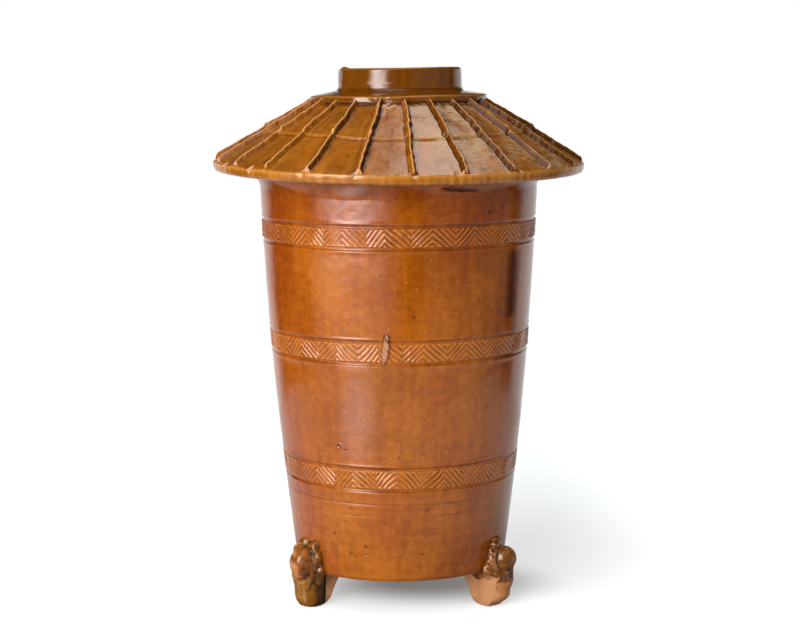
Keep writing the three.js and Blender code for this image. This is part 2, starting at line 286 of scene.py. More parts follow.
def scar(angle, height):
    """The gouge across the middle band: its depth, how bare it is and how dark its edge is; the dark right
    edge is painted shade of its steep side.
    """
    up = (height - SCAR_HEIGHT) / SCAR_HALF_HEIGHT
    spread = np.sqrt(np.clip(1 - up * up, 0, 1))
    ragged = 1 + 0.07 * np.sin(9 * up) + 0.05 * np.sin(23 * up + 1)
    aside = turned_by(angle, SCAR_ANGLE) * wall_radius(height) - SCAR_LEAN * (up - 0.2)
    right, left = SCAR_BULGE * spread * ragged, -SCAR_HOLLOW * spread
    across = (aside - left) / np.maximum(right - left, 0.05)
    inside = smooth(across, -0.06, 0.06) * smooth(across, 1.04, 0.94) * (np.abs(up) < 1)
    torn = 1 + 0.25 * np.sin(31 * up + 5 * across)
    depth = SCAR_DEPTH * inside * (0.3 + 0.7 * np.clip(across, 0, 1)) * torn
    lip = 0.35 * bump(aside, right + 0.35, 0.45) * (spread > 0)
    crack = bump(across, (0.86 - up) / 0.6, 0.13) * inside * smooth(np.abs(up - 0.55), 0.4, 0.25)
    # Painted shade along the gouge's steep right side
    rim = bump(aside, right - 0.1, 0.5) * smooth(spread, 0, 0.3)
    rim = rim + bump(aside, left - 0.1, 0.3) * smooth(up, 0.3, 0.7) * (up < 1)
    return depth - lip, inside * smooth(across, 0.9, 0.76) * (1 - crack), np.clip(rim + crack, 0, 1)


def pits(angle, height):
    """Depth of the pits in the glaze, and how dark they are."""
    depth, dark = np.zeros_like(height), np.zeros_like(height)
    for degrees, middle, radius, deep in PITS:
        aside = turned_by(angle, degrees) * wall_radius(middle)
        away = np.hypot(aside, 1.3 * (height - middle)) / radius
        depth += deep * smooth(away, 1.1, 0.4) - 0.3 * deep * bump(away, 1.35, 0.3)
        dark += bump(away, 0.9, 0.45) + 0.6 * (away < 0.9) * (deep < 0.5)
    return depth, np.clip(dark, 0, 1)


def scratches(angle, height):
    """Depth of the nicks in the wall, and how dark they are."""
    total = np.zeros_like(height)
    for start_angle, start, end_angle, end, width, deep in SCRATCHES:
        around = turned_by(angle, start_angle) * SCRATCH_RADIUS
        run, climb = radians(end_angle - start_angle) * SCRATCH_RADIUS, end - start
        along = np.clip((around * run + (height - start) * climb) / (run ** 2 + climb ** 2), 0, 1)
        away = np.hypot(around - along * run, height - start - along * climb)
        total += deep * smooth(away, 1.5 * width, 0.3 * width)
    broken = 0.75 + 0.4 * ripple(angle, height, 17, turns=160, tall=1.2)
    return 0.5 * total, np.clip(total / 0.22, 0, 1) * np.clip(broken, 0, 1)


def border_relief(height):
    """Depth of the bands' border grooves, with a raised lip outside each, and where glaze pools in them."""
    depth, pool = np.zeros_like(height), np.zeros_like(height)
    for middle, _, _ in BANDS.values():
        away = np.abs(height - middle)
        groove = smooth(away, BORDER + BORDER_WIDTH, BORDER)
        depth += 0.16 * bump(away, BORDER + BORDER_WIDTH + 0.35, 0.5) - BORDER_DEPTH * groove
        pool += 0.58 * bump(away, BORDER + 0.15, 0.95) - 0.4 * bump(away, BORDER + BORDER_WIDTH + 0.4, 0.35)
    return depth, pool


def roof_sag(angle):
    """How far the eave hangs below the true cone: most at the front, and lifted on the left."""
    return -0.35 + 1.3 * np.cos(angle) + 0.65 * np.cos(2 * angle) + np.sin(angle)


def course_line(angle):
    """Distance from the axis to the edge of the upper course of flat tiles."""
    return COURSE_RADIUS - 2.2 + 2.4 * bump(angle, 0, 0.45) + 0.35 * ripple(angle, 0, 11, turns=12)


def roof_height(radius, angle):
    """Top of the flat tiles, with the step between courses, their dishing and the sagging eave."""
    slope = EAVE_TOP + (EAVE_RADIUS - radius) * math.tan(ROOF_PITCH)
    past = radius - course_line(angle)
    step = COURSE_STEP * smooth(past, 0.25, -0.25) * smooth(past, -24, -2) - 0.3 * bump(past, 0.5, 0.4)
    share = (turned_by(angle, FIRST_ROW) / ROW_PITCH) % 1
    dish = PANEL_DISH * (1 - (2 * share - 1) ** 2) * smooth(radius, 50, 58)
    lumps = 0.11 * ripple(angle, radius, 12, turns=40, tall=0.45, waves=30)
    return slope + step - dish + lumps - roof_sag(angle) * smooth(radius, 60, EAVE_RADIUS)


# Making and finishing meshes

def as_mesh(made):
    mesh = bpy.data.meshes.new("piece")
    made.to_mesh(mesh)
    made.free()
    return mesh


def points_of(mesh, field="co"):
    flat = np.empty(len(mesh.vertices) * 3)
    mesh.vertices.foreach_get(field, flat)
    return flat.reshape(-1, 3)


def place_points(mesh, points):
    mesh.vertices.foreach_set("co", points.ravel())
    mesh.update()


def drawn_out(made, faces, axis, place):
    """Draws a copy of some faces out to a place along an axis, with walls between."""
    for part in bmesh.ops.extrude_face_region(made, geom=faces, use_keep_orig=True)["geom"]:
        if isinstance(part, bmesh.types.BMVert):
            part.co[axis] = place


def cylinder_places(points):
    """Angle from the front, distance from the axis and height."""
    x, y, z = points.T
    return np.arctan2(x, -y), np.hypot(x, y), z.copy()


def points_at(angle, radius, height):
    return np.stack([radius * np.sin(angle), -radius * np.cos(angle), height], axis=1)


def turned(profile, steps, crowd=0.0):
    """A closed outline of (radius, height) points turned once round the jar's axis. Its columns can crowd
    together at the front, by a share of their spacing. Given with its points and their places."""
    made = bmesh.new()
    bmesh.ops.create_grid(made, x_segments=steps, y_segments=len(profile), size=0.5)
    sheet = as_mesh(made)
    cells = points_of(sheet) + 0.5
    outline = np.array([*profile, profile[0]])
    radius, height = outline[np.rint(cells[:, 1] * len(profile)).astype(int)].T
    angle = FULL_TURN * cells[:, 0]
    place_points(sheet, points_at(angle - crowd * np.sin(angle), radius, height))
    closed = bmesh.new()
    closed.from_mesh(sheet)
    bpy.data.meshes.remove(sheet)
    bmesh.ops.remove_doubles(closed, verts=closed.verts, dist=1e-3)
    bmesh.ops.recalc_face_normals(closed, faces=closed.faces)
    mesh = as_mesh(closed)
    points = points_of(mesh)
    return mesh, points, *cylinder_places(points)


def set_radius(points, radius):
    points[:, :2] *= (radius / np.maximum(np.hypot(points[:, 0], points[:, 1]), 1e-6))[:, None]


def stand(name, data):
    """Puts a mesh, a lamp or the camera in the scene."""
    made = bpy.data.objects.new(name, data)
    bpy.context.scene.collection.objects.link(made)
    return made


def finish(name, mesh, points, marks, material, nodes, crease=38):
    """Puts a shaped mesh in the scene in metres, with its marks for the glaze, and ties it to the frame."""
    place_points(mesh, points * MM)
    for label, values in marks.items():
        mark = mesh.attributes.new(label, "FLOAT", "POINT")
        values = np.broadcast_to(np.clip(values, -1, 1), len(points))
        mark.data.foreach_set("value", values.astype(np.float32))
    mesh.shade_smooth()
    mesh.set_sharp_from_angle(angle=radians(crease))
    mesh.materials.append(material)
    piece = stand(name, mesh)
    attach(piece, "root")
    if nodes:
        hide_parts(*nodes)


# Drum

def base_slab(material):
    low = BASE + 0.15
    side = BASE_RADIUS - WALL_THICKNESS
    underside = [(radius, low) for radius in range(4, int(side) - 1, 4)]
    rim = [(side - 1, low), (side, low + 0.8), (side, SLAB_TOP)]
    mesh, points, angle, radius, height = turned([(0, low), *underside, *rim, (0, SLAB_TOP)], 192)
    points[:, 2] += 0.25 * ripple(angle, radius, 21, turns=5, tall=0.2) * (height < SLAB_TOP - 1)
    finish("floor_slab", mesh, points, {"bare": 1}, material, ["base_slab"])


def wall_rows():
    """Heights of the wall's rows: even steps, with closer ones across the border grooves and small marks."""
    rows = list(np.arange(BASE + BASE_EDGE, RIM, ROW_STEP))
    for middle, _, _ in BANDS.values():
        for side in (-1, 1):
            rows = [row for row in rows if abs(row - middle - side * (BORDER + 0.8)) > 1.7]
            rows += [middle + side * (BORDER + away) for away in GROOVE_ROWS]
    for low, high in FINE_ROWS:
        rows = [row for row in rows if not low < row < high] + list(np.arange(low, high, FINE_STEP))
    return sorted(rows)


def drum_wall(material):
    rows = wall_rows()
    foot = [(BASE_RADIUS - BASE_EDGE * (1 - math.sin(turn)), BASE + BASE_EDGE * (1 - math.cos(turn)))
            for turn in (0, 0.45, 0.9, 1.3)]
    outside = foot + [(wall_radius(row), row) for row in rows] + [(wall_radius(RIM), RIM)]
    inside = [(wall_radius(row) - WALL_THICKNESS, row) for row in np.linspace(RIM, BASE, 18)]
    mesh, points, angle, radius, height = turned(outside + inside, WALL_STEPS, crowd=0.6)
    outer = radius > wall_radius(height) - WALL_THICKNESS / 2
    gouge, gouged, gouge_rim = scar(angle, height)
    pitted, pit_dark = pits(angle, height)
    nicked, nick_dark = scratches(angle, height)
    borders, pooled = border_relief(height)
    scored = scored_lines(angle, height)
    relief = wall_wander(angle, height) + borders - 0.2 * scored - gouge - pitted - nicked
    low_edge = smooth(height, BASE, BASE + 8)
    points[:, 2] += 0.5 * ripple(angle, height, 8, turns=4) * (1 - low_edge) * outer
    set_radius(points, radius + np.where(outer, relief * (0.3 + 0.7 * low_edge), 0))
    underside = smooth(height, BASE + 0.7, BASE + 0.2)
    bare = np.where(outer, np.maximum(gouged, underside), 1)
    pool = pooled * (0.8 + 0.35 * ripple(angle, height, 10, turns=14)) + 0.7 * scored
    pool = pool + 1.4 * (gouge_rim + pit_dark) + nick_dark
    # Painted shade under the eave: darker towards the top, most right of the front; then the dark streak
    pool = pool + 0.3 * smooth(height, 205, 236) * smooth(angle, -0.5, 0.7) + dark_streak(angle, height)
    marks = {"bare": bare, "pool": pool, "tint": drum_tint(angle, height)}
    finish("glazed_wall", mesh, points, marks, material, ["drum_wall"])


def scored_lines(angle, height):
    """Strength of the turning lines scored round the drum's foot, which break off here and there."""
    lines = sum(bump(height, line + 0.5 * ripple(angle, 0, 7, turns=2), 0.5) for line in SCORED_LINES)
    return lines * np.clip(0.5 + 0.6 * ripple(angle, height, 9, turns=9, tall=0.2), 0, 1)


def dark_streak(angle, height):
    """A dark streak on the right that ends raggedly above the middle band."""
    end = STREAK_END + 1.5 * ripple(angle, 0, 16, turns=60)
    down = smooth(height, end, end + 3) * smooth(height, 206, 200)
    return 0.85 * down * bump(turned_by(angle, STREAK_ANGLE), 0, STREAK_WIDTH)


def drum_tint(angle, height):
    """Where the drum's glaze runs redder: down both sides, in clouds and in one patch; towards the top,
    painted shade under the eave.
    """
    left = smooth(angle, radians(-36), radians(-62)) * smooth(np.abs(angle), 3.0, 1.9)
    right = smooth(angle, radians(28), radians(66)) * smooth(np.abs(angle), 3.0, 2.2)
    clouds = 0.34 * ripple(angle, height, 15, turns=9, tall=0.045, waves=24)
    patch = bump(turned_by(angle, PATCH_ANGLE) * 72, 0, 4.5) * bump(height, PATCH_HEIGHT, 4.0)
    # The last term is painted shade under the eave, redder towards the top
    return 0.22 + clouds + 0.5 * left + 0.4 * right + 0.5 * patch + 0.45 * smooth(height, 195, 230)


def stamped(angle, away, band):
    """Share of full relief of the stamped zigzag: ridges that run as nested waves across the band."""
    middle, zigzags, first = BANDS[band]
    half_wave = math.pi * wall_radius(middle) / zigzags
    slip = 0.045 * ripple(angle, away, 31, turns=25, tall=0.1)
    place = turned_by(angle, first) * zigzags / FULL_TURN + slip
    rise = half_wave * 2 * np.abs((place + 0.5) % 1 - 0.5)
    return 0.5 + 0.5 * np.cos(FULL_TURN * (away - rise) / RIDGE_SPACING)


def relief_band(band, material):
    """The stamped field as a ring seated between its border grooves."""
    middle = BANDS[band][0]
    rows = np.linspace(-FIELD, FIELD, int(2 * FIELD / BAND_ROW) + 1)
    face = [(wall_radius(middle + away), middle + away) for away in rows]
    seat = wall_radius(middle) - 1.8
    back = [(seat, middle + FIELD + 0.2), (seat, middle - FIELD - 0.2)]
    mesh, points, angle, radius, height = turned(face + back, BAND_STEPS)
    away = height - middle
    front = radius > wall_radius(middle) - 1.2
    ridge = stamped(angle, away, band)
    press = 0.85 + 0.4 * ripple(angle, away, int(middle), turns=36, tall=0.15)
    if band == "high":
        press = press * (1 - 0.75 * bump(turned_by(angle, BLUR_ANGLE), 0, BLUR_WIDTH))
    press = np.clip(press, 0.1, 1.3)
    inner = smooth(np.abs(away), FIELD - 0.2, FIELD - 1.1)
    outline = smooth(np.abs(away), FIELD - 0.9, FIELD)
    lip = bump(np.abs(away), FIELD - 1.0, 0.4)
    crumbs = 0.07 * ripple(angle, away, 32 + int(middle), turns=330, tall=3.0, waves=36)
    gouge, gouged, gouge_rim = scar(angle, height)
    relief = (RIDGE_RELIEF * ridge + crumbs) * press * inner + 0.1 * lip - 0.6 * outline - 0.16
    set_radius(points, radius + np.where(front, relief + wall_wander(angle, height) - gouge, 0))
    pool = press * (0.72 - 1.25 * ridge + 1.2 * crumbs) * inner + 0.6 * outline - 0.25 * lip
    pool = pool + 1.4 * gouge_rim - 0.08
    marks = {"bare": gouged * front, "pool": pool, "tint": drum_tint(angle, height) - 0.25}
    finish(f"zigzag_band_{band}", mesh, points, marks, material, [], crease=70)


def eave_slit(angle, height):
    """How far the roll under the eave is broken open: a narrow slit on the right."""
    beside = turned_by(angle, SLIT_ANGLE) / radians(SLIT_HALF_ANGLE)
    open_by = np.clip(1.1 * (1 - beside * beside) * (1 + 0.4 * ripple(angle, 0, 44, turns=90)), 0, 2)
    away = np.abs(height - EAVE_BOTTOM + SLIT_DROP + 0.8 * beside)
    return smooth(away, open_by + 0.1, 0.4 * open_by) * (open_by > 0.1)


def eave_fillet(material):
    """The roll of clay smoothed into the corner under the eave, broken open at a dark slit."""
    swept = [(ROLL_REACH * (1 + up / ROLL_HEIGHT) ** 1.6, up) for up in np.arange(-ROLL_HEIGHT, 0.1, 0.5)]
    outline = [(-1.5, -ROLL_HEIGHT), *swept, (ROLL_REACH, 0.4), (-1.5, 0.4)]
    rim = wall_radius(RIM)
    outline = [(rim + out, EAVE_BOTTOM + up) for out, up in outline]
    mesh, points, angle, radius, height = turned(outline, WALL_STEPS)
    out = radius - rim
    slit = eave_slit(angle, height)
    swell = 1 + 0.3 * ripple(angle, height, 41, turns=8)
    shaped = np.where(out > 0, out * swell * (1 - 0.85 * slit) + wall_wander(angle, height) * 0.8, out)
    set_radius(points, rim + shaped + (wall_radius(height) - rim))
    droop = ROLL_DROOP * bump(turned_by(angle, DROOP_ANGLE), 0, 0.7) + 0.5 * ripple(angle, 0, 42, turns=6)
    points[:, 2] -= droop * (out > -0.1) * smooth(height, EAVE_BOTTOM - 1, EAVE_BOTTOM - ROLL_HEIGHT)
    # The last term is painted shade, darker just under the eave
    pool = 0.2 + 1.5 * slit + 0.5 * smooth(height, EAVE_BOTTOM - 4, EAVE_BOTTOM)
    marks = {"pool": pool, "tint": 0.8}
    finish("eave_roll", mesh, points, marks, material, ["eave_fillet"], crease=60)


# Roof

def eave_wear(angle, radius, height):
    """Depth of the bites out of the eave's upper edge."""
    bite = 0
    for degrees, width, depth in CHIPS:
        bite = bite + depth * bump(turned_by(angle, degrees) * EAVE_RADIUS, 0, width)
    near = smooth(radius, EAVE_RADIUS - 4.5, EAVE_RADIUS - 0.8)
    ragged = 0.6 + 0.55 * ripple(angle, height, 51, turns=160, tall=0.8, waves=30)
    return bite * near * np.clip(ragged, 0.1, 1.4)


def roof_outline():
    """The cone's section: eave face, top, vault and underside. The top is laid flat here and shaped later."""
    face = [(EAVE_RADIUS + out, height) for out, height in (
        (-2.0, EAVE_BOTTOM), (-1.0, EAVE_BOTTOM + 0.4), (-0.3, EAVE_BOTTOM + 1.2), (0, EAVE_BOTTOM + 2.2),
        (0.2, EAVE_BOTTOM + 3.4), (0.3, EAVE_TOP - 0.9), (0.25, EAVE_TOP - 0.35))]
    radii = np.arange(EAVE_RADIUS - 0.05, RIDGE_RADIUS - 5, -ROOF_ROW)
    near_line = np.abs(radii - COURSE_RADIUS) < 1.8
    close_rows = np.arange(COURSE_RADIUS - 1.8, COURSE_RADIUS + 1.9, 0.24)
    radii = sorted({*radii[~near_line], *close_rows}, reverse=True)
    drop = ROOF_THICKNESS / math.cos(ROOF_PITCH)
    vault = [(radius, EAVE_TOP + (EAVE_RADIUS - radius) * math.tan(ROOF_PITCH) - drop) for radius in (43, 56)]
    seat = wall_radius(RIM) - WALL_THICKNESS
    under = [(radius, EAVE_BOTTOM) for radius in (seat, seat + 2, 84, 91, 97)]
    return face + [(radius, EAVE_TOP) for radius in radii] + vault + under


def worn_spot(angle, radius):
    """How near a place lies to the abraded spot, a little left of the front."""
    return bump(turned_by(angle, RUIN_ANGLE) * radius, 0, RUIN_WIDTH)


def roof_marks(angle, radius, height, wear, on_top, at_edge):
    """Where the roof is bare, where its glaze pools or is painted with shade under the ridge ring, and where
    it is filmed over or brown. Right of the front the film is partly a painted sheen.
    """
    ruin = worn_spot(angle, radius) * bump(radius, RIDGE_RADIUS + 1.8, 3.2)
    ruin = 0.75 * smooth(ruin * (1 + 0.7 * ripple(angle, radius, 55, turns=120, tall=1.4)), 0.35, 0.9)
    patches = smooth(ripple(angle, height, 54, turns=70, tall=0.5, waves=26), 0.9, 1.4)
    low_edge = 0.7 * bump(height, EAVE_BOTTOM + 0.5, 0.7) * (radius > 98) * patches
    inside = (radius < wall_radius(RIM)) & ~on_top
    bare = np.maximum(np.maximum(smooth(wear, 0.3, 0.6), ruin * on_top), np.maximum(inside, low_edge))
    past = radius - course_line(angle)
    share = (turned_by(angle, FIRST_ROW) / ROW_PITCH) % 1
    beside = 1.2 * bump(share * ROW_PITCH * radius, 2.5, 0.55)
    beside = beside + 0.7 * bump((1 - share) * ROW_PITCH * radius, 2.8, 0.6)
    # Painted shade on the flat tiles under the overhanging ridge ring
    ring_shade = smooth(radius, RIDGE_RADIUS + 2.8, RIDGE_RADIUS + 0.8)
    pools_and_ring_shade = 0.7 * bump(past, 0.45, 0.4) + 1.1 * ring_shade + 0.7 * beside
    stains = 0.5 * smooth(ripple(angle, radius, 57, turns=50, tall=0.35, waves=30), 0.5, 1.5)
    streaks = 0.3 * ripple(angle, radius, 58, turns=150, tall=0.12, waves=30)
    lip = bump(radius, EAVE_RADIUS - 0.2, 0.7) * smooth(height, EAVE_TOP - 2.4, EAVE_TOP - 0.6)
    thin = 0.7 * bump(past, -0.35, 0.3) + 0.9 * lip + 0.3 * at_edge
    clouds = 0.85 + 0.75 * ripple(angle, radius, 56, turns=30, tall=0.16, waves=24)
    # Right of the front the pale film is laid thicker, partly as a painted sheen
    right = smooth(angle, radians(-10), radians(16)) * smooth(np.abs(angle), 2.9, 1.9)
    film = on_top * clouds * (0.06 + 0.52 * right) * smooth(radius, EAVE_RADIUS, EAVE_RADIUS - 2)
    browner = 0.25 + 0.35 * ripple(angle, radius, 59, turns=26, tall=0.1, waves=24)
    return {"bare": bare, "pool": on_top * pools_and_ring_shade + stains + streaks - thin, "film": film,
            "tint": np.where(on_top, browner, 0.05 + 0.6 * stains)}


def roof_cone(material):
    mesh, points, angle, radius, height = turned(roof_outline(), ROOF_STEPS, crowd=0.35)
    on_top = np.abs(height - EAVE_TOP) < 0.01
    at_edge = (radius > 82) & ~on_top
    radius = radius + (course_line(angle) - COURSE_RADIUS) * bump(radius, COURSE_RADIUS, 9) * on_top
    wear = eave_wear(angle, radius, height) * smooth(height, EAVE_BOTTOM + 1.5, EAVE_TOP)
    sag = roof_sag(angle) * smooth(radius, 84, 98)
    top = roof_height(radius, angle) - 0.6 * wear
    points[:, 2] = np.where(on_top, top, height - at_edge * (sag + 0.4 * wear))
    wavy = 0.35 * ripple(angle, 0, 52, turns=9) + 0.14 * ripple(angle, height, 53, turns=60, tall=0.6)
    reach = smooth(radius, 88, EAVE_RADIUS)
    set_radius(points, radius + wavy * reach - wear * reach)
    marks = roof_marks(angle, radius, height, wear, on_top, at_edge)
    finish("tiled_roof", mesh, points, marks, material, ["roof_cone"], crease=42)


def tile_blank():
    """A thin closed block of cells to bend into a tile: along X, across Y, and 0 or 1 up."""
    made = bmesh.new()
    bmesh.ops.create_grid(made, x_segments=56, y_segments=14, size=0.5)
    drawn_out(made, list(made.faces), 2, 1)
    bmesh.ops.recalc_face_normals(made, faces=made.faces)
    return as_mesh(made)


def row_angle(row):
    return radians(FIRST_ROW) + row * ROW_PITCH


def wave(share, cycles, draw):
    """A wave along a tile that starts anywhere."""
    return np.sin(FULL_TURN * share * cycles + draw.uniform(0, FULL_TURN))


def tile_points(course, row, draw, share, side, slant, raised):
    """The cells of the blank bent into a tile, and their angles. Its ends depend on its course."""
    top, bottom = TILE_ENDS[course]
    radius = top + (bottom - top) * share
    lean = np.random.default_rng(300 + row).normal(0, 0.006)
    centre = row_angle(row) + lean + draw.normal(0, 0.004) * share
    sway = 0.3 * wave(share, draw.uniform(0.6, 1.3), draw)
    sway = sway + 0.13 * wave(share, 4.3, draw) + 0.07 * wave(share, 9.7, draw)
    nick = draw.uniform(0.3, 0.75)
    sway = sway + draw.choice([0, 0.3, 0.7]) * bump(share, nick, 0.05)
    bead = bump(share, 0.95, 0.05) * draw.uniform(0.3, 1.6) if course == "upper" else 0
    width = TILE_WIDTH * (TILE_TAPER + (1 - TILE_TAPER) * share) * draw.normal(1, 0.03) * (1 + 0.14 * bead)
    rise = 0.96 + 0.05 * wave(share, 2.3, draw) + 0.15 * bead + 0.03 * wave(share, 7.1, draw)
    section = 1 - np.abs(slant) ** 1.08 - 0.06 * bump(slant, 0, 0.14)
    ends = smooth(share, 0, 0.02) * smooth(share, 1, 0.985)
    worn = draw.uniform(0.0, 0.6) * bump(share, 1.0, 0.03) if course == "lower" else 0
    rise = TILE_RISE * rise * section * (0.75 + 0.25 * ends) * (1 - 0.5 * worn)
    angle = centre + (side * width / 2 + sway) / radius
    height = roof_height(radius, angle) + np.where(raised, rise, 0) * 1.12 - np.where(raised, 0.2, 0.6)
    return points_at(angle, radius, height), angle


def tile_marks(course, row, draw, share, slant, raised, angle):
    """Where a tile is worn bare, where its glaze pools and where it is brown. Rows that face left are more
    worn, and rows that face right are browner. One side of each tile has painted shade, most in rows a
    little left of the front, and each crest is made lighter as a painted highlight with its thin glaze."""
    facing = math.degrees(turned_by(row_angle(row), 0))
    worn_row = smooth(-facing, 28, 50) * smooth(-facing, 150, 100)
    brown_row = smooth(facing, -8, 22) * smooth(abs(facing), 170, 120)
    shaded_row = 0.42 + 0.58 * bump(facing, -13, 19)
    crest = bump(slant, 0.0, 0.15)
    ragged = 0.7 + 0.6 * ripple(angle, share * 20, 60 + row, turns=90, tall=1.5)
    end_wear = 0.5 * bump(share, 0.98, 0.02)
    if course == "lower":
        end_wear = bump(share, 1.0, 0.03) * draw.uniform(0.2, 1.5)
    crest_wear = (0.5 + 0.5 * worn_row) * crest * smooth(ragged, 0.8, 1.4)
    bare = np.maximum(end_wear, crest_wear) * ragged * raised
    # Painted shade on one side of each tile, strongest a little left of the front
    painted_side_shade = smooth(slant, 0.12, 0.4) * (0.8 + 0.2 * ragged) * shaded_row
    stain = 0.35 * smooth(ripple(angle, share * 20, 160 + row, turns=70, tall=0.6), 0.5, 1.5)
    brown_face = 0.55 * brown_row * smooth(slant, -0.1, -0.3)
    # The crest is made lighter as a painted highlight together with thin glaze
    pool = painted_side_shade + brown_face + 0.7 * smooth(slant, -0.72, -0.95) + stain - 1.4 * crest
    brown = 0.15 + 0.75 * brown_row + 0.3 * ripple(angle, share * 20, 170 + row, turns=60, tall=0.4)
    return {"bare": smooth(bare, 0.3, 0.8), "pool": np.where(raised, pool, 0.7), "tint": brown * (1 - crest)}


def tube_tile(course, row, blank, material):
    """One ridge-shaped tile of a course, from its upper to its lower end, lying on the flat tiles."""
    draw = np.random.default_rng(100 + row + (50 if course == "upper" else 0))
    mesh = blank.copy()
    cells = points_of(mesh)
    share, side, raised = cells[:, 0] + 0.5, cells[:, 1] * 2, cells[:, 2] > 0.5
    slant = (side - CREST_SHIFT) / np.where(side > CREST_SHIFT, 1 - CREST_SHIFT, 1 + CREST_SHIFT)
    points, angle = tile_points(course, row, draw, share, side, slant, raised)
    marks = tile_marks(course, row, draw, share, slant, raised, angle)
    number = f"{course}_{row + 1:02d}"
    finish("tile_" + number, mesh, points, marks, material, ["tube_tile_" + number], crease=50)


def ridge_outline(rim):
    outline = [(MOUTH_RADIUS + 0.3, RIDGE_SEAT + 1), (RIDGE_RADIUS - 3, RIDGE_SEAT + 1)]
    outline += [(RIDGE_RADIUS - 0.6, RIDGE_SEAT + 1.3)]
    outline += [(RIDGE_RADIUS - 0.1, height) for height in np.linspace(RIDGE_SEAT + 2, rim - 0.5, 5)]
    outline += [(RIDGE_RADIUS - 0.3, rim - 0.1), (RIDGE_RADIUS - 0.9, rim + 0.15)]
    outline += [(radius, rim + 0.2 + RIDGE_RISE * ((RIDGE_RADIUS - radius) / 15) ** 1.1)
                for radius in np.arange(47.5, 35.5, -1.2)]
    return outline + [(34.6, RIDGE_CREST + 0.2), (MOUTH_RADIUS + 0.3, RIDGE_CREST + 0.2)]


def ridge_ring(material):
    """The flat ring that caps the tiles, abraded a little left of the front."""
    rim = RIDGE_CREST - RIDGE_RISE
    mesh, points, angle, radius, height = turned(ridge_outline(rim), 2 * WALL_STEPS)
    ruin = worn_spot(angle, radius)
    crumble = 1 + 0.55 * ripple(angle, height + 0.6 * radius, 71, turns=44, tall=1.5, waves=30)
    outer = smooth(radius, RIDGE_RADIUS - 5, RIDGE_RADIUS - 0.5)
    wavy = 0.3 * ripple(angle, 0, 72, turns=9) + 0.1 * ripple(angle, height, 73, turns=50, tall=0.5)
    set_radius(points, radius + outer * (wavy - 0.75 * ruin * crumble))
    tilt = 0.4 * np.sin(angle) * smooth(radius, 30, RIDGE_RADIUS)
    points[:, 2] += tilt + outer * (0.2 * ripple(angle, 0, 74, turns=8) - 0.4 * ruin * crumble)
    edge = bump(height, rim, 0.7) * outer * smooth(ripple(angle, height, 75, turns=60), 0.8, 1.4) * 0.6
    bare = np.maximum(0.34 * smooth(ruin * outer * crumble, 0.5, 1.1), edge)
    # Painted shade on the ring's face under its rim
    pool = 0.7 * smooth(height, rim - 1.4, RIDGE_SEAT + 1) - 0.9 * bump(height, rim - 0.1, 0.5) * outer
    pool = pool + 0.6 * bump(radius, COLLAR_RADIUS + 1.6, 1.2)
    marks = {"bare": bare, "pool": pool}
    finish("ridge_cap", mesh, points, marks, material, ["ridge_ring"], crease=50)


def collar_outline():
    rows = np.linspace(0, 1, 22)
    reach = [COLLAR_RADIUS + 2.4 * math.exp(-row * 9) + 0.3 * math.sin(math.pi * row) + 0.25 * row
             for row in rows]
    climb = COLLAR_TOP - 1.3 - COLLAR_FOOT
    side = [(out, COLLAR_FOOT + climb * row) for out, row in zip(reach, rows)]
    lip = [(COLLAR_RADIUS + 0.2 - 1.4 * (1 - math.cos(turn)), COLLAR_TOP - 1.3 + 1.3 * math.sin(turn))
           for turn in (0.5, 1.0, 1.4)]
    brim = [(COLLAR_RADIUS - 2.6, COLLAR_TOP), (MOUTH_RADIUS + 1.4, COLLAR_TOP - 0.1)]
    throat = [(MOUTH_RADIUS, height) for height in np.linspace(COLLAR_TOP - 1.5, RIDGE_SEAT + 1, 8)]
    back = [(MOUTH_RADIUS + 3, RIDGE_SEAT + 1), (MOUTH_RADIUS + 3, COLLAR_FOOT)]
    return side + lip + brim + [(MOUTH_RADIUS + 0.4, COLLAR_TOP - 0.5)] + throat + back


def mouth_collar(material):
    mesh, points, angle, radius, height = turned(collar_outline(), COLLAR_STEPS)
    outer = smooth(radius, COLLAR_RADIUS - 3, COLLAR_RADIUS - 1)
    lines = sum(bump(height, COLLAR_FOOT + up, 0.3) for up in (1.9, 3.1, 4.2))
    lines = lines * (0.5 + 0.5 * ripple(angle, height, 85, turns=5))
    wavy = 0.16 * ripple(angle, height, 81, turns=4) + 0.04 * ripple(angle, height, 82, turns=40, tall=0.5)
    set_radius(points, radius + outer * (wavy - 0.14 * lines))
    points[:, 0] += COLLAR_SHIFT * smooth(height, RIDGE_SEAT, RIDGE_CREST)
    lump = bump(turned_by(angle, LUMP_ANGLE) * COLLAR_RADIUS, 0, 1.4)
    lump = lump * smooth(radius, MOUTH_RADIUS, COLLAR_RADIUS - 2)
    high = smooth(height, COLLAR_TOP - 2, COLLAR_TOP)
    tilt = 0.35 * np.sin(angle) * smooth(height, COLLAR_FOOT, COLLAR_TOP)
    points[:, 2] += tilt + high * (0.14 * ripple(angle, 0, 83, turns=5) + 0.9 * lump - 0.05)
    worn = high * smooth(ripple(angle, radius, 84, turns=60, tall=1.0), 1.0, 1.5) * 0.6
    pool = 0.5 * bump(height, COLLAR_FOOT + 1.2, 1.0) + 0.4 * lines
    pool = pool - 0.8 * bump(height, COLLAR_TOP - 0.2, 0.5) * outer
    marks = {"bare": np.where(height < RIDGE_CREST - 1, 1, worn), "pool": pool}
    finish("collar", mesh, points, marks, material, ["mouth_collar"], crease=60)


# Feet: moulded bears. Each is built facing +X at the foot's middle, and then turned to its place.

# For each bear its twist on the foot, how far the body leans out, the head's place (out, up), radii and tip
# (forward, sideways), and which side the lump of the raised arm lies on
BEARS = {
    "left": (36, 0.4, (8.4, 26.4), (7.3, 7.8, 9.1), (16, -22), 1),
    "right": (8, 3.2, (8.0, 27.2), (6.7, 7.0, 6.9), (0, 0), -1),
    "back": (-6, 1.0, (7.0, 26.4), (6.6, 6.9, 7.8), (8, 6), 1),
}


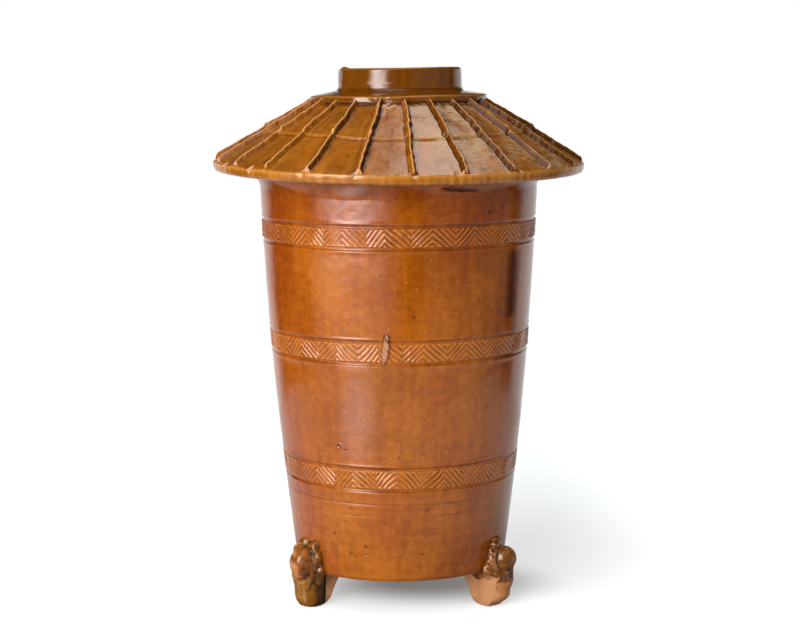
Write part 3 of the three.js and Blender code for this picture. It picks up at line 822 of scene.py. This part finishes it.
class Clay:
    """Lumps of clay gathered at the foot's middle, twisted as they are added."""

    def __init__(self, twist):
        self.made = bmesh.new()
        self.twist = Matrix.Translation((POST_RADIUS, 0, 0)) @ Matrix.Rotation(radians(twist), 4, "Z")

    def ball(self, middle, radii, tip=0.0, roll=0.0):
        """A ball squashed to three radii, tipped forward and rolled sideways in degrees."""
        turn = Matrix.Rotation(radians(tip), 4, "Y") @ Matrix.Rotation(radians(roll), 4, "X")
        place = self.twist @ Matrix.Translation(middle) @ turn @ Matrix.Diagonal((*radii, 1))
        bmesh.ops.create_icosphere(self.made, subdivisions=4, radius=1, matrix=place)

    def cone(self, place, low_radius, high_radius, depth, segments):
        bmesh.ops.create_cone(self.made, cap_ends=True, segments=segments, radius1=low_radius,
                              radius2=high_radius, depth=depth, matrix=place)

    def limb(self, start, end, thick_start, thick_end):
        """A tapering limb with round ends."""
        start, end = Vector(start), Vector(end)
        along = end - start
        turn = along.to_track_quat("Z", "Y").to_matrix().to_4x4()
        place = self.twist @ Matrix.Translation((start + end) / 2) @ turn
        self.cone(place, thick_start, thick_end, along.length, 24)
        self.ball(start, (thick_start,) * 3)
        self.ball(end, (thick_end,) * 3)

    def post(self, low, high, wide_low, wide_high, out):
        place = Matrix.Translation((POST_RADIUS + out, 0, (low + high) / 2))
        self.cone(place, wide_low, wide_high, high - low, 48)

    def strut(self, reach=0.0):
        """The tab that sweeps in under the base behind the bear."""
        outline = [(0, 0), (0, BASE + 1.2), (-19.5 - reach, BASE + 1.2), (-19 - reach, BASE - 0.8),
                   (-15.5 - reach * 0.9, BASE * 0.8), (-12.9 - reach * 0.7, BASE * 0.58),
                   (-11 - reach * 0.5, BASE * 0.36), (-9.8 - reach * 0.3, BASE * 0.17),
                   (-8.8, BASE * 0.06), (-7.2, 0)]
        corners = [(POST_RADIUS + out, -STRUT_HALF_WIDTH, up) for out, up in outline]
        face = self.made.faces.new([self.made.verts.new(corner) for corner in corners])
        drawn_out(self.made, [face], 1, STRUT_HALF_WIDTH)


def bear_clay(place):
    """Post, strut, belly, head, jaw, arms and the lump that the raised hands run into, overlapping."""
    twist, lean, (head_out, head_up), head_radii, (tip, roll), arm_side = BEARS[place]
    clay = Clay(twist)
    clay.post(0, 2.4, POST_WIDTH - 1.4, POST_WIDTH - 0.2, lean * 0.6)
    clay.post(2.4, BASE, POST_WIDTH - 0.2, POST_WIDTH + 0.3, lean * 0.8)
    clay.post(0, BASE + 1.2, POST_WIDTH - 0.8, POST_WIDTH, 0)
    clay.strut(1.8 if place == "left" else 0.0)
    clay.ball((1.2 + lean, 0, 15.5), (8.3, 9.0, 10.5))
    clay.ball((-0.6, 0, 29.0), (5.6, 8.2, 9.5))
    clay.ball((head_out, 0, head_up), head_radii, tip=tip, roll=roll)
    clay.ball((head_out + 0.6, -arm_side * 0.6, head_up - head_radii[2] * 0.6), (4.6, 4.6, 4.2), tip=20)
    clay.ball((head_out - 2.6, 0, head_up - head_radii[2] - 0.6), (5.4, 5.4, 4.0), tip=25)
    for side in (-1, 1):
        clay.limb((3.0, side * 7.6, 26.0), (7.2 + lean, side * 3.6, 15.5), 2.2, 1.3)
        clay.limb((2.2, side * 6.6, 33.0), (3.0, side * 7.6, 26.0), 1.9, 2.1)
        clay.ball((3.7 + lean, side * 8.0, 17.4), (1.9, 1.5, 3.0))
    clay.ball((2.2, 0, 35.0), (3.6, 6.6, 4.4))
    raised_arm(clay, place, arm_side)
    return clay.made


def raised_arm(clay, place, side):
    """The arm that is raised beside the head, with the lumpy clay that joins it to the drum."""
    clay.twist = Matrix.Translation((POST_RADIUS, 0, 0))
    if place == "right":
        clay.limb((3.8, -4.0, 35.0), (4.0, -7.4, 28.0), 2.5, 2.6)
        clay.limb((4.0, -7.4, 28.0), (6.6, -6.6, 19.0), 2.6, 2.2)
        clay.ball((2.2, -8.2, 22.0), (3.4, 3.8, 6.0))
        clay.ball((3.0, -3.0, 30.0), (4.4, 5.0, 6.0))
        return
    clay.limb((2.4, side * 12.0, 38.0), (1.7, side * 14.0, 28.5), 2.7, 2.7)
    clay.limb((1.7, side * 14.0, 28.5), (4.6, side * 9.4, 17.0), 2.7, 1.9)
    clay.limb((4.6, side * 9.4, 17.0), (5.6, side * 7.4, 12.0), 1.9, 0.8)
    clay.ball((0.2, side * 11.0, 23.5), (3.2, 5.4, 10.0))
    clay.ball((0.8, side * 7.5, 34.0), (3.8, 7.5, 5.6))


def head_place(place):
    """Middle of a bear's head as it stands on the turned foot, and its radii."""
    twist, _, (out, up), radii, _, _ = BEARS[place]
    turn = radians(twist)
    return np.array((POST_RADIUS + out * math.cos(turn), out * math.sin(turn), up)), np.array(radii)


def remeshed(made, voxel):
    """One closed skin over overlapping shapes, smoothed."""
    source = as_mesh(made)
    rough = stand("rough", source)
    skin = rough.modifiers.new("skin", "REMESH")
    skin.mode = "VOXEL"
    skin.voxel_size = voxel
    mesh = bpy.data.meshes.new_from_object(rough.evaluated_get(bpy.context.evaluated_depsgraph_get()))
    bpy.data.objects.remove(rough)
    bpy.data.meshes.remove(source)
    soft = bmesh.new()
    soft.from_mesh(mesh)
    bpy.data.meshes.remove(mesh)
    axes = {"use_axis_x": True, "use_axis_y": True, "use_axis_z": True}
    for _ in range(FOOT_SMOOTHING):
        bmesh.ops.smooth_vert(soft, verts=soft.verts, factor=0.5, **axes)
    return as_mesh(soft)


def hollowness(mesh, points, normals):
    """How far in millimetres each point lies in a crease, or on a ridge where it is below 0."""
    pairs = np.empty(len(mesh.edges) * 2, dtype=np.int64)
    mesh.edges.foreach_get("vertices", pairs)
    first, second = pairs.reshape(-1, 2).T
    count = np.bincount(pairs, minlength=len(points))[:, None]
    soft = points.copy()
    for _ in range(6):
        total = np.zeros_like(soft)
        np.add.at(total, first, soft[second])
        np.add.at(total, second, soft[first])
        soft = 0.5 * soft + 0.5 * total / count
    return ((soft - points) * normals).sum(axis=1)


def gnarled(points, scale, octaves):
    return np.array([noise.fractal(Vector(point) * scale, 1.0, 2.0, octaves) for point in points])


def lumpy_crust(place, out, aside, up, from_head):
    """Where the clay is lumpy: above the head, at the raised arms and in the right bear's folds."""
    crust = smooth(up, 28.5, 32.5) * smooth(from_head, 1.1, 1.35)
    crust = np.maximum(crust, smooth(np.abs(aside), 8.6, 10.6) * smooth(up, 19, 22) * smooth(out, 5.5, 4.0))
    folds = smooth(up, 14.5, 17) * smooth(up, 23, 20) * smooth(out, 3, 6) * (place == "right")
    return np.maximum(crust, folds * smooth(from_head, 0.95, 1.1))


def turn_to_place(place, points):
    """Turns a foot from +X to where it stands, and keeps it on the floor."""
    turn = FOOT_ANGLES[place] - math.pi / 2
    x, y = points[:, 0].copy(), points[:, 1].copy()
    points[:, 0] = x * math.cos(turn) - y * math.sin(turn)
    points[:, 1] = x * math.sin(turn) + y * math.cos(turn)
    points[:, 2] = np.maximum(points[:, 2], 0)


def bare_flank(across, height, ragged, streaks, bare):
    """The right foot's left part, bare under a drip, and how thin the glaze runs beside that."""
    drip = 3.2 * bump(across, 43.5, 3.4) - 1.2 * bump(across, 49.5, 2.4)
    below = smooth(height + drip + 0.3 * ragged, 18.0, 17.5)
    wander = 1.1 * np.sin(0.5 * height + 1.5) + 0.5 * np.sin(1.3 * height) + 0.7 * ragged
    flank = smooth(across + wander, 55.2, 53.9) * below
    bare = np.maximum(bare * smooth(height + drip, 18.3, 17.7), flank)
    return bare, 1.3 * smooth(across, 53, 56) * smooth(height + 0.8 * streaks, 15.5, 13.0)


def bear_foot(place, material):
    right = place == "right"
    mesh = remeshed(bear_clay(place), FOOT_VOXEL)
    points, normals = points_of(mesh), points_of(mesh, "normal")
    head, head_radii = head_place(place)
    from_head = np.linalg.norm((points - head) / head_radii, axis=1)
    local = points.copy()
    out, aside, up = local[:, 0] - POST_RADIUS, local[:, 1], local[:, 2]
    moat = 0.35 * bump(from_head, 1.14, 0.08) * smooth(up, 19, 24)
    lumps = 0.1 * ripple(aside * 0.25, up + out * 0.5, 91 + len(place), turns=8, tall=0.5, waves=24)
    streaks = ripple(np.arctan2(aside, out), 0.1 * up, 97 + len(place), turns=26, tall=0.3, waves=24)
    runs = 0.08 * streaks * smooth(up, 20, 14)
    crust = lumpy_crust(place, out, aside, up, from_head)
    gnarls = gnarled(local, 0.23, 2)
    points += normals * (lumps + runs + crust * 0.75 * gnarls - moat)[:, None]
    points[:, 0] -= (1.0 + 0.9 * BEARS[place][1]) * smooth(up, 6.5, 0) * smooth(out, 2, 8)
    points[:, 1] *= 1 - 0.22 * smooth(up, 5, 0) * smooth(out, -4, -8)
    hollow = hollowness(mesh, points, normals)
    turn_to_place(place, points)
    angle, _, height = cylinder_places(points)
    ragged = 0.8 * ripple(angle, height, 95, turns=40, tall=0.4)
    tab = smooth(local[:, 0] + 0.5 * ragged, POST_RADIUS - 6.9, POST_RADIUS - 7.4)
    bare, thin_side = np.maximum(tab, smooth(height, 0.7, 0.3)), 0
    if right:
        bare, thin_side = bare_flank(points[:, 0], height, ragged, streaks, bare)
    inward = 0.5 * aside * (1 if place == "left" else -1) - 0.87 * out
    # Painted shade: the left and back bears darker on the side away from the light and towards the floor
    shade = 0.85 * smooth(inward, -3, 6) * smooth(from_head, 1.0, 1.2) * smooth(up, 27, 18)
    shade = 0.35 * smooth(height, 7, 1) + shade
    pool = 5.0 * np.clip(hollow, -0.12, 0.22) + shade * (not right) + 0.25 * crust + 0.2 * moat - 0.15
    pool = pool + 0.3 * streaks * smooth(up, 22, 16) - thin_side
    on_head = smooth(from_head, 1.16, 1.04)
    pool = pool + on_head * (0.8 * gnarled(local, 0.17, 4) + (0.3 if right else 0.25))
    if right:
        tint = 1 - 0.6 * on_head * smooth(up, head[2] - 7, head[2] - 4) - 0.4 * crust
    else:
        low_face = on_head * smooth(up, head[2] + 2, head[2] - 6)
        tint = 0.7 * on_head + 0.3 * low_face + 0.6 * crust
        # Painted highlight: the head lighter low down and on the side towards the light
        pool = pool - 0.7 * low_face * smooth(inward, -3, -8) - 0.4 * on_head * smooth(inward, -5, -9)
    pool = pool + 0.4 * crust * smooth(gnarls, 0.1, -0.3)
    marks = {"bare": bare * (height < BASE + 3), "pool": pool, "tint": tint}
    finish(f"bear_{place}", mesh, points, marks, material, [f"bear_foot_{place}"], crease=80)


# Materials

class Graph:
    """Short calls that add nodes to a tree and feed their inputs."""

    def __init__(self, tree):
        self.tree = tree

    def node(self, kind, inputs=None, **settings):
        made = self.tree.nodes.new("ShaderNode" + kind)
        for name, value in settings.items():
            setattr(made, name, value)
        for name, value in (inputs or {}).items():
            self.feed(made.inputs[name], value)
        return made

    def feed(self, socket, value):
        if isinstance(value, bpy.types.NodeSocket):
            self.tree.links.new(value, socket)
        elif socket.type == "RGBA":
            socket.default_value = (*value, 1)
        else:
            socket.default_value = value

    def noise(self, place, scale, detail=3.0, roughness=0.5, stretch=None):
        if stretch:
            place = self.node("Mapping", {"Vector": place, "Scale": stretch}).outputs["Vector"]
        settings = {"Vector": place, "Scale": scale, "Detail": detail, "Roughness": roughness}
        return self.node("TexNoise", settings).outputs["Fac"]

    def ramp(self, value, low, high):
        """A soft step from 0 at low to 1 at high."""
        fields = {"Value": value, "From Min": low, "From Max": high}
        return self.node("MapRange", fields, interpolation_type="SMOOTHSTEP").outputs["Result"]

    def maths(self, operation, first, second):
        made = self.node("Math", operation=operation)
        self.feed(made.inputs[0], first)
        self.feed(made.inputs[1], second)
        return made.outputs[0]

    def times(self, first, second):
        return self.maths("MULTIPLY", first, second)

    def plus(self, first, second):
        return self.maths("ADD", first, second)

    def weighed(self, *terms):
        """A sum of values, each times its weight."""
        total = 0.0
        for value, weight in terms:
            total = self.plus(total, self.times(value, weight))
        return total

    def distance(self, first, second):
        return self.node("VectorMath", {0: first, 1: second}, operation="DISTANCE").outputs["Value"]

    def stretched(self, place, scale):
        return self.node("VectorMath", {0: place, 1: scale}, operation="MULTIPLY").outputs["Vector"]

    def mix(self, factor, first, second, blend="MIX"):
        fields = {"Factor": factor, "A": first, "B": second}
        return self.node("Mix", fields, data_type="RGBA", blend_type=blend).outputs["Result"]


def group(name, inputs, outputs):
    """A shader node group with named sockets, as (tree, graph, input node, output node)."""
    tree = bpy.data.node_groups.new(name, "ShaderNodeTree")
    for label, kind in inputs.items():
        tree.interface.new_socket(label, in_out="INPUT", socket_type="NodeSocket" + kind)
    for label, kind in outputs.items():
        tree.interface.new_socket(label, in_out="OUTPUT", socket_type="NodeSocket" + kind)
    return tree, Graph(tree), tree.nodes.new("NodeGroupInput"), tree.nodes.new("NodeGroupOutput")


def pooled_glaze_group():
    """Glaze that runs thin on edges and pools in hollows, over specks in the clay: colour and height."""
    tree, graph, given, result = group(
        "pooled glaze",
        {"Place": "Vector", "Thin": "Color", "Laid": "Color", "Thick": "Color", "Pooled": "Color",
         "Pool": "Float"},
        {"Color": "Color", "Height": "Float"})
    place, pool = given.outputs["Place"], given.outputs["Pool"]
    clouds = graph.noise(place, 16.0, detail=4.0, roughness=0.6)
    runs = graph.noise(place, 1.0, detail=4.0, roughness=0.6, stretch=(190, 190, 16))
    wipes = graph.noise(place, 1.0, detail=4.0, roughness=0.6, stretch=(60, 60, 900))
    mottle = graph.noise(place, 230.0, detail=4.0, roughness=0.7)
    grain = graph.noise(place, 760.0, detail=3.0, roughness=0.75)
    depth = graph.weighed((clouds, 0.30), (runs, 0.20), (wipes, 0.10), (mottle, 0.26), (grain, 0.14))
    color = graph.mix(graph.ramp(depth, 0.43, 0.58), given.outputs["Laid"], given.outputs["Thick"])
    uneven = graph.weighed((pool, 1.0), (mottle, 0.5), (grain, 0.3), (-0.40, 1.0))
    color = graph.mix(graph.ramp(uneven, 0.0, -0.8), color, given.outputs["Thin"])
    color = graph.mix(graph.ramp(uneven, 0.1, 0.95), color, given.outputs["Pooled"])
    color = graph.mix(0.15, color, graph.ramp(grain, 0.30, 0.70), "OVERLAY")
    cells = graph.node("TexVoronoi", {"Vector": place, "Scale": 210.0})
    chosen = graph.node("SeparateColor", {"Color": cells.outputs["Color"]})
    size = graph.times(graph.ramp(chosen.outputs["Red"], 0.62, 1.0), 0.10)
    spot = graph.ramp(graph.maths("SUBTRACT", cells.outputs["Distance"], size), 0.03, -0.05)
    dust = graph.node("TexVoronoi", {"Vector": place, "Scale": 520.0})
    picked = graph.node("SeparateColor", {"Color": dust.outputs["Color"]})
    dot = graph.ramp(dust.outputs["Distance"], 0.30, 0.12)
    dark = graph.times(dot, graph.ramp(picked.outputs["Green"], 0.8, 0.97))
    pale = graph.times(dot, graph.ramp(picked.outputs["Blue"], 0.965, 0.995))
    marks = graph.maths("MAXIMUM", spot, graph.times(dark, 0.6))
    color = graph.mix(graph.times(pale, 0.55), color, PINHOLE)
    graph.feed(result.inputs["Color"], graph.mix(marks, color, SPECK))
    peel = graph.noise(place, 560.0, detail=2.0)
    swell = graph.noise(place, 140.0, detail=2.0)
    surface = graph.weighed(
        (peel, 0.45), (grain, 0.3), (swell, 0.7), (wipes, 0.15), (spot, -0.8), (pale, -0.6))
    graph.feed(result.inputs["Height"], surface)
    return tree


def bared_clay_group():
    """Clay where the glaze is gone: colour over the glaze, a ragged mask made from a mark, and grain."""
    tree, graph, given, result = group(
        "bared clay", {"Place": "Vector", "Glaze": "Color", "Clay": "Color", "Bare": "Float"},
        {"Color": "Color", "Mask": "Float", "Grain": "Float"})
    place = given.outputs["Place"]
    ragged = graph.noise(place, 900.0, detail=3.0, roughness=0.6)
    mark = graph.weighed((given.outputs["Bare"], 1.0), (ragged, 0.5), (-0.25, 1.0))
    mask = graph.ramp(mark, 0.42, 0.58)
    dirt = graph.noise(place, 210.0, detail=4.0, roughness=0.7)
    shaded = graph.mix(graph.ramp(dirt, 0.5, 1.0), given.outputs["Clay"], INNER_CLAY)
    graph.feed(result.inputs["Color"], graph.mix(mask, given.outputs["Glaze"], shaded))
    graph.feed(result.inputs["Mask"], mask)
    graph.feed(result.inputs["Grain"], graph.noise(place, 1500.0, detail=2.0))
    return tree


def pale_film_group():
    """A weathered film, whitish in wrinkles, over the glaze where it is marked."""
    tree, graph, given, result = group(
        "pale film", {"Place": "Vector", "Glaze": "Color", "Film": "Color", "Cover": "Float"},
        {"Color": "Color", "Mask": "Float"})
    place = given.outputs["Place"]
    clouds = graph.noise(place, 90.0, detail=5.0, roughness=0.65)
    wrinkles = graph.noise(place, 420.0, detail=4.0, roughness=0.7, stretch=(0.6, 1.3, 1.3))
    broken = graph.ramp(graph.weighed((clouds, 0.4), (wrinkles, 0.6)), 0.44, 0.58)
    cover = graph.times(broken, given.outputs["Cover"])
    graph.feed(result.inputs["Color"], graph.mix(cover, given.outputs["Glaze"], given.outputs["Film"]))
    graph.feed(result.inputs["Mask"], cover)
    return tree


POOLED_GLAZE = pooled_glaze_group()
BARED_CLAY = bared_clay_group()
PALE_FILM = pale_film_group()


def new_material(name):
    material = bpy.data.materials.new(name)
    material.use_nodes = True
    return material, Graph(material.node_tree), material.node_tree.nodes["Principled BSDF"]


def placed_group(graph, tree, inputs):
    made = graph.node("Group", node_tree=tree)
    for label, value in inputs.items():
        graph.feed(made.inputs[label], value)
    return made


def marked(graph, label):
    """A piece's mark, as made when it was shaped."""
    return graph.node("Attribute", attribute_name=label).outputs["Fac"]


def glaze_material(name, tones, other=None, clay=BARE_CLAY, gloss=0.12, relief=0.10, filmed=False):
    """Glossy lead glaze over red clay, bare where the piece is marked so, and of another colour where it is
    tinted. On some pieces the pool and tint marks also carry painted shade, and a pool below 0 a painted
    highlight."""
    material, graph, shader = new_material(name)
    place = graph.node("TexCoord").outputs["Object"]
    bare, pool, tint = (marked(graph, label) for label in ("bare", "pool", "tint"))
    if other:
        tones = [graph.mix(tint, first, second) for first, second in zip(tones, other)]
    inputs = dict(zip(("Thin", "Laid", "Thick", "Pooled"), tones))
    glaze = placed_group(graph, POOLED_GLAZE, {"Place": place, **inputs, "Pool": pool})
    color, dulled = glaze.outputs["Color"], 0.0
    if filmed:
        cover = marked(graph, "film")
        film = placed_group(graph, PALE_FILM, {"Place": place, "Glaze": color, "Film": FILM, "Cover": cover})
        color = film.outputs["Color"]
        dulled = graph.times(film.outputs["Mask"], FILM_DULLNESS)
    clayed = placed_group(graph, BARED_CLAY, {"Place": place, "Glaze": color, "Clay": clay, "Bare": bare})
    mask = clayed.outputs["Mask"]
    uneven = graph.times(graph.noise(place, 48.0, detail=4.0), 0.10)
    shine = graph.plus(graph.plus(uneven, gloss - 0.05), dulled)
    graph.feed(shader.inputs["Base Color"], clayed.outputs["Color"])
    rough = graph.maths("MAXIMUM", shine, graph.times(mask, CLAY_ROUGHNESS))
    graph.feed(shader.inputs["Roughness"], rough)
    fields = {"Height": glaze.outputs["Height"], "Strength": 0.5, "Distance": relief * MM}
    skin = graph.node("Bump", fields).outputs["Normal"]
    sand = graph.times(clayed.outputs["Grain"], mask)
    sanded = graph.node("Bump", {"Height": sand, "Strength": 0.7, "Distance": 0.25 * MM, "Normal": skin})
    graph.feed(shader.inputs["Normal"], sanded.outputs["Normal"])
    shader.inputs["IOR"].default_value = GLAZE_INDEX
    return material


# Stage, light and camera

def kinds_of_ray(graph):
    """Two values: 1 for camera rays, and 1 for what the glaze mirrors."""
    path = graph.node("LightPath")
    mirrored = graph.maths("MAXIMUM", path.outputs["Is Glossy Ray"], path.outputs["Is Transmission Ray"])
    return path.outputs["Is Camera Ray"], mirrored


def stage_floor():
    """A small pale table under the jar, with the jar's shadow. As the camera sees it, it turns white further
    out, with a soft shade painted under the jar and one in its lee. The glaze mirrors a gleam on it."""
    made = bmesh.new()
    bmesh.ops.create_circle(made, cap_ends=True, segments=96, radius=0.5)
    floor = stand("pale_floor", as_mesh(made))
    material, graph, shader = new_material("pale floor")
    shader.inputs["Roughness"].default_value = 0.9
    shader.inputs["Specular IOR Level"].default_value = 0.0
    camera_ray, mirrored = kinds_of_ray(graph)
    place = graph.node("TexCoord").outputs["Object"]
    away = graph.node("VectorMath", {"Vector": place}, operation="LENGTH").outputs["Value"]
    edge = graph.ramp(away, 0.10, 0.29)
    seen = graph.mix(edge, PAPER, (0, 0, 0))
    graph.feed(shader.inputs["Base Color"], graph.mix(camera_ray, PAPER_BOUNCE, seen))
    shade = graph.ramp(graph.distance(graph.stretched(place, (0.60, 1, 1)), SHADE_MIDDLE), 0.056, 0.010)
    lee = graph.ramp(graph.distance(graph.stretched(place, (1, 0.32, 1)), LEE_MIDDLE), 0.10, 0.0)
    shadow = graph.weighed((shade, SHADE_DEPTH), (lee, LEE_DEPTH))
    glow = graph.times(camera_ray, graph.weighed((edge, 0.5), (0.60, 1.0), (shadow, -1.0)))
    gleam = graph.ramp(graph.distance(place, GLEAM_MIDDLE), 0.15, 0.03)
    sheen = graph.weighed((graph.ramp(away, 0.06, 0.22), 0.5), (gleam, GLEAM_GLOW))
    graph.feed(shader.inputs["Emission Strength"], graph.plus(glow, graph.times(mirrored, sheen)))
    shader.inputs["Emission Color"].default_value = (0.97, 1, 1, 1)
    floor.data.materials.append(material)


def white_surroundings():
    """White all round as the camera sees it. The glaze mirrors a white wall behind the jar, a bright patch of
    ceiling and a tall window on the left with a dim haze below it. A plain soft room lights the rest."""
    world = bpy.data.worlds.new("white surroundings")
    bpy.context.scene.world = world
    world.use_nodes = True
    graph = Graph(world.node_tree)
    direction = graph.node("TexCoord").outputs["Generated"]
    axes = graph.node("SeparateXYZ", {"Vector": direction})
    across, back, up = (axes.outputs[axis] for axis in "XYZ")
    behind = graph.ramp(graph.weighed((back, 1.0), (across, 0.132)), 0.52, 0.76)
    behind = graph.times(behind, graph.ramp(up, 0.24, 0.08))
    towards = graph.node("VectorMath", {0: direction, 1: CEILING_PATCH}, operation="DOT_PRODUCT")
    ceiling = graph.ramp(towards.outputs["Value"], 0.962, 0.998)
    azimuth = graph.maths("ARCTAN2", across, graph.times(back, -1.0))
    aside = graph.maths("ABSOLUTE", graph.plus(azimuth, -WINDOW_AZIMUTH), 0.0)
    narrowed = graph.times(aside, graph.weighed((graph.ramp(up, -0.13, -0.02), 0.8), (1.0, 1.0)))
    window = graph.times(graph.ramp(narrowed, 0.66, 0.09), graph.ramp(up, -0.215, -0.085))
    window = graph.times(window, graph.ramp(up, 0.75, 0.45))
    haze = graph.times(graph.ramp(aside, 0.80, 0.46), graph.ramp(up, -0.13, -0.19))
    mirrored = graph.weighed((behind, WALL_GLOW), (ceiling, CEILING_GLOW), (window, WINDOW_GLOW),
                             (haze, HAZE_GLOW), (DARK_GLOW, 1.0))
    room = graph.weighed((graph.ramp(up, -0.1, 0.9), 0.42), (0.12, 1.0))
    camera_ray, glossy = kinds_of_ray(graph)
    strength = graph.node("Mix", {"Factor": glossy, "A": room, "B": mirrored}).outputs["Result"]
    backdrop = world.node_tree.nodes["Background"]
    backdrop.inputs["Color"].default_value = (1, 1, 1, 1)
    graph.feed(backdrop.inputs["Strength"], graph.maths("MAXIMUM", camera_ray, strength))


def soft_box(name, azimuth, distance, height, wide, tall, glow, mirrored):
    """A soft light that stands at an azimuth from the jar's front and faces its axis. The glaze mirrors it
    unless its glow is already painted, with softer edges, on the surroundings."""
    data = bpy.data.lights.new(name, "AREA")
    data.shape = "RECTANGLE"
    data.size, data.size_y, data.energy = wide, tall, glow * math.pi * wide * tall
    lamp = stand(name, data)
    turn = radians(azimuth)
    lamp.location = (distance * math.sin(turn), -distance * math.cos(turn), height)
    aim = Vector((0, 0, min(height, 0.2))) - lamp.location
    lamp.rotation_euler = aim.to_track_quat("-Z", "Y").to_euler()
    lamp.visible_glossy = mirrored


def studio():
    stage_floor()
    white_surroundings()
    for name, settings in LAMPS.items():
        soft_box(name, *settings)


def camera():
    data = bpy.data.cameras.new("camera")
    data.lens = CAMERA_LENS
    data.sensor_width = CAMERA_SENSOR
    viewer = stand("camera", data)
    viewer.location = CAMERA_PLACE
    viewer.rotation_euler = (CAMERA_TILT, CAMERA_ROLL, 0)
    bpy.context.scene.camera = viewer


def jar():
    drum_glaze = glaze_material("drum glaze", AMBER, RUST, clay=WORN_CLAY, gloss=0.16)
    roof_glaze = glaze_material(
        "roof glaze", OCHRE, UMBER, clay=WORN_CLAY, gloss=0.2, relief=0.3, filmed=True)
    ridge_glaze = glaze_material("ridge glaze", UMBER, clay=WORN_CLAY)
    tile_glaze = glaze_material("tile glaze", TILE, UMBER, clay=WORN_CLAY, gloss=0.2, relief=0.2)
    band_glaze = glaze_material("band glaze", AMBER, RUST, clay=WORN_CLAY, gloss=0.22)
    foot_glaze = glaze_material("foot glaze", OLIVE, MAUVE, gloss=0.21, relief=0.16)
    base_slab(foot_glaze)
    drum_wall(drum_glaze)
    for band in BANDS:
        relief_band(band, band_glaze)
    eave_fillet(drum_glaze)
    roof_cone(roof_glaze)
    blank = tile_blank()
    for row in range(TILE_ROWS):
        tube_tile("upper", row, blank, tile_glaze)
        tube_tile("lower", row, blank, tile_glaze)
    bpy.data.meshes.remove(blank)
    ridge_ring(ridge_glaze)
    mouth_collar(ridge_glaze)
    for place in FOOT_ANGLES:
        bear_foot(place, foot_glaze)


bpy.context.scene.view_settings.view_transform = "Standard"
jar()
studio()
camera()
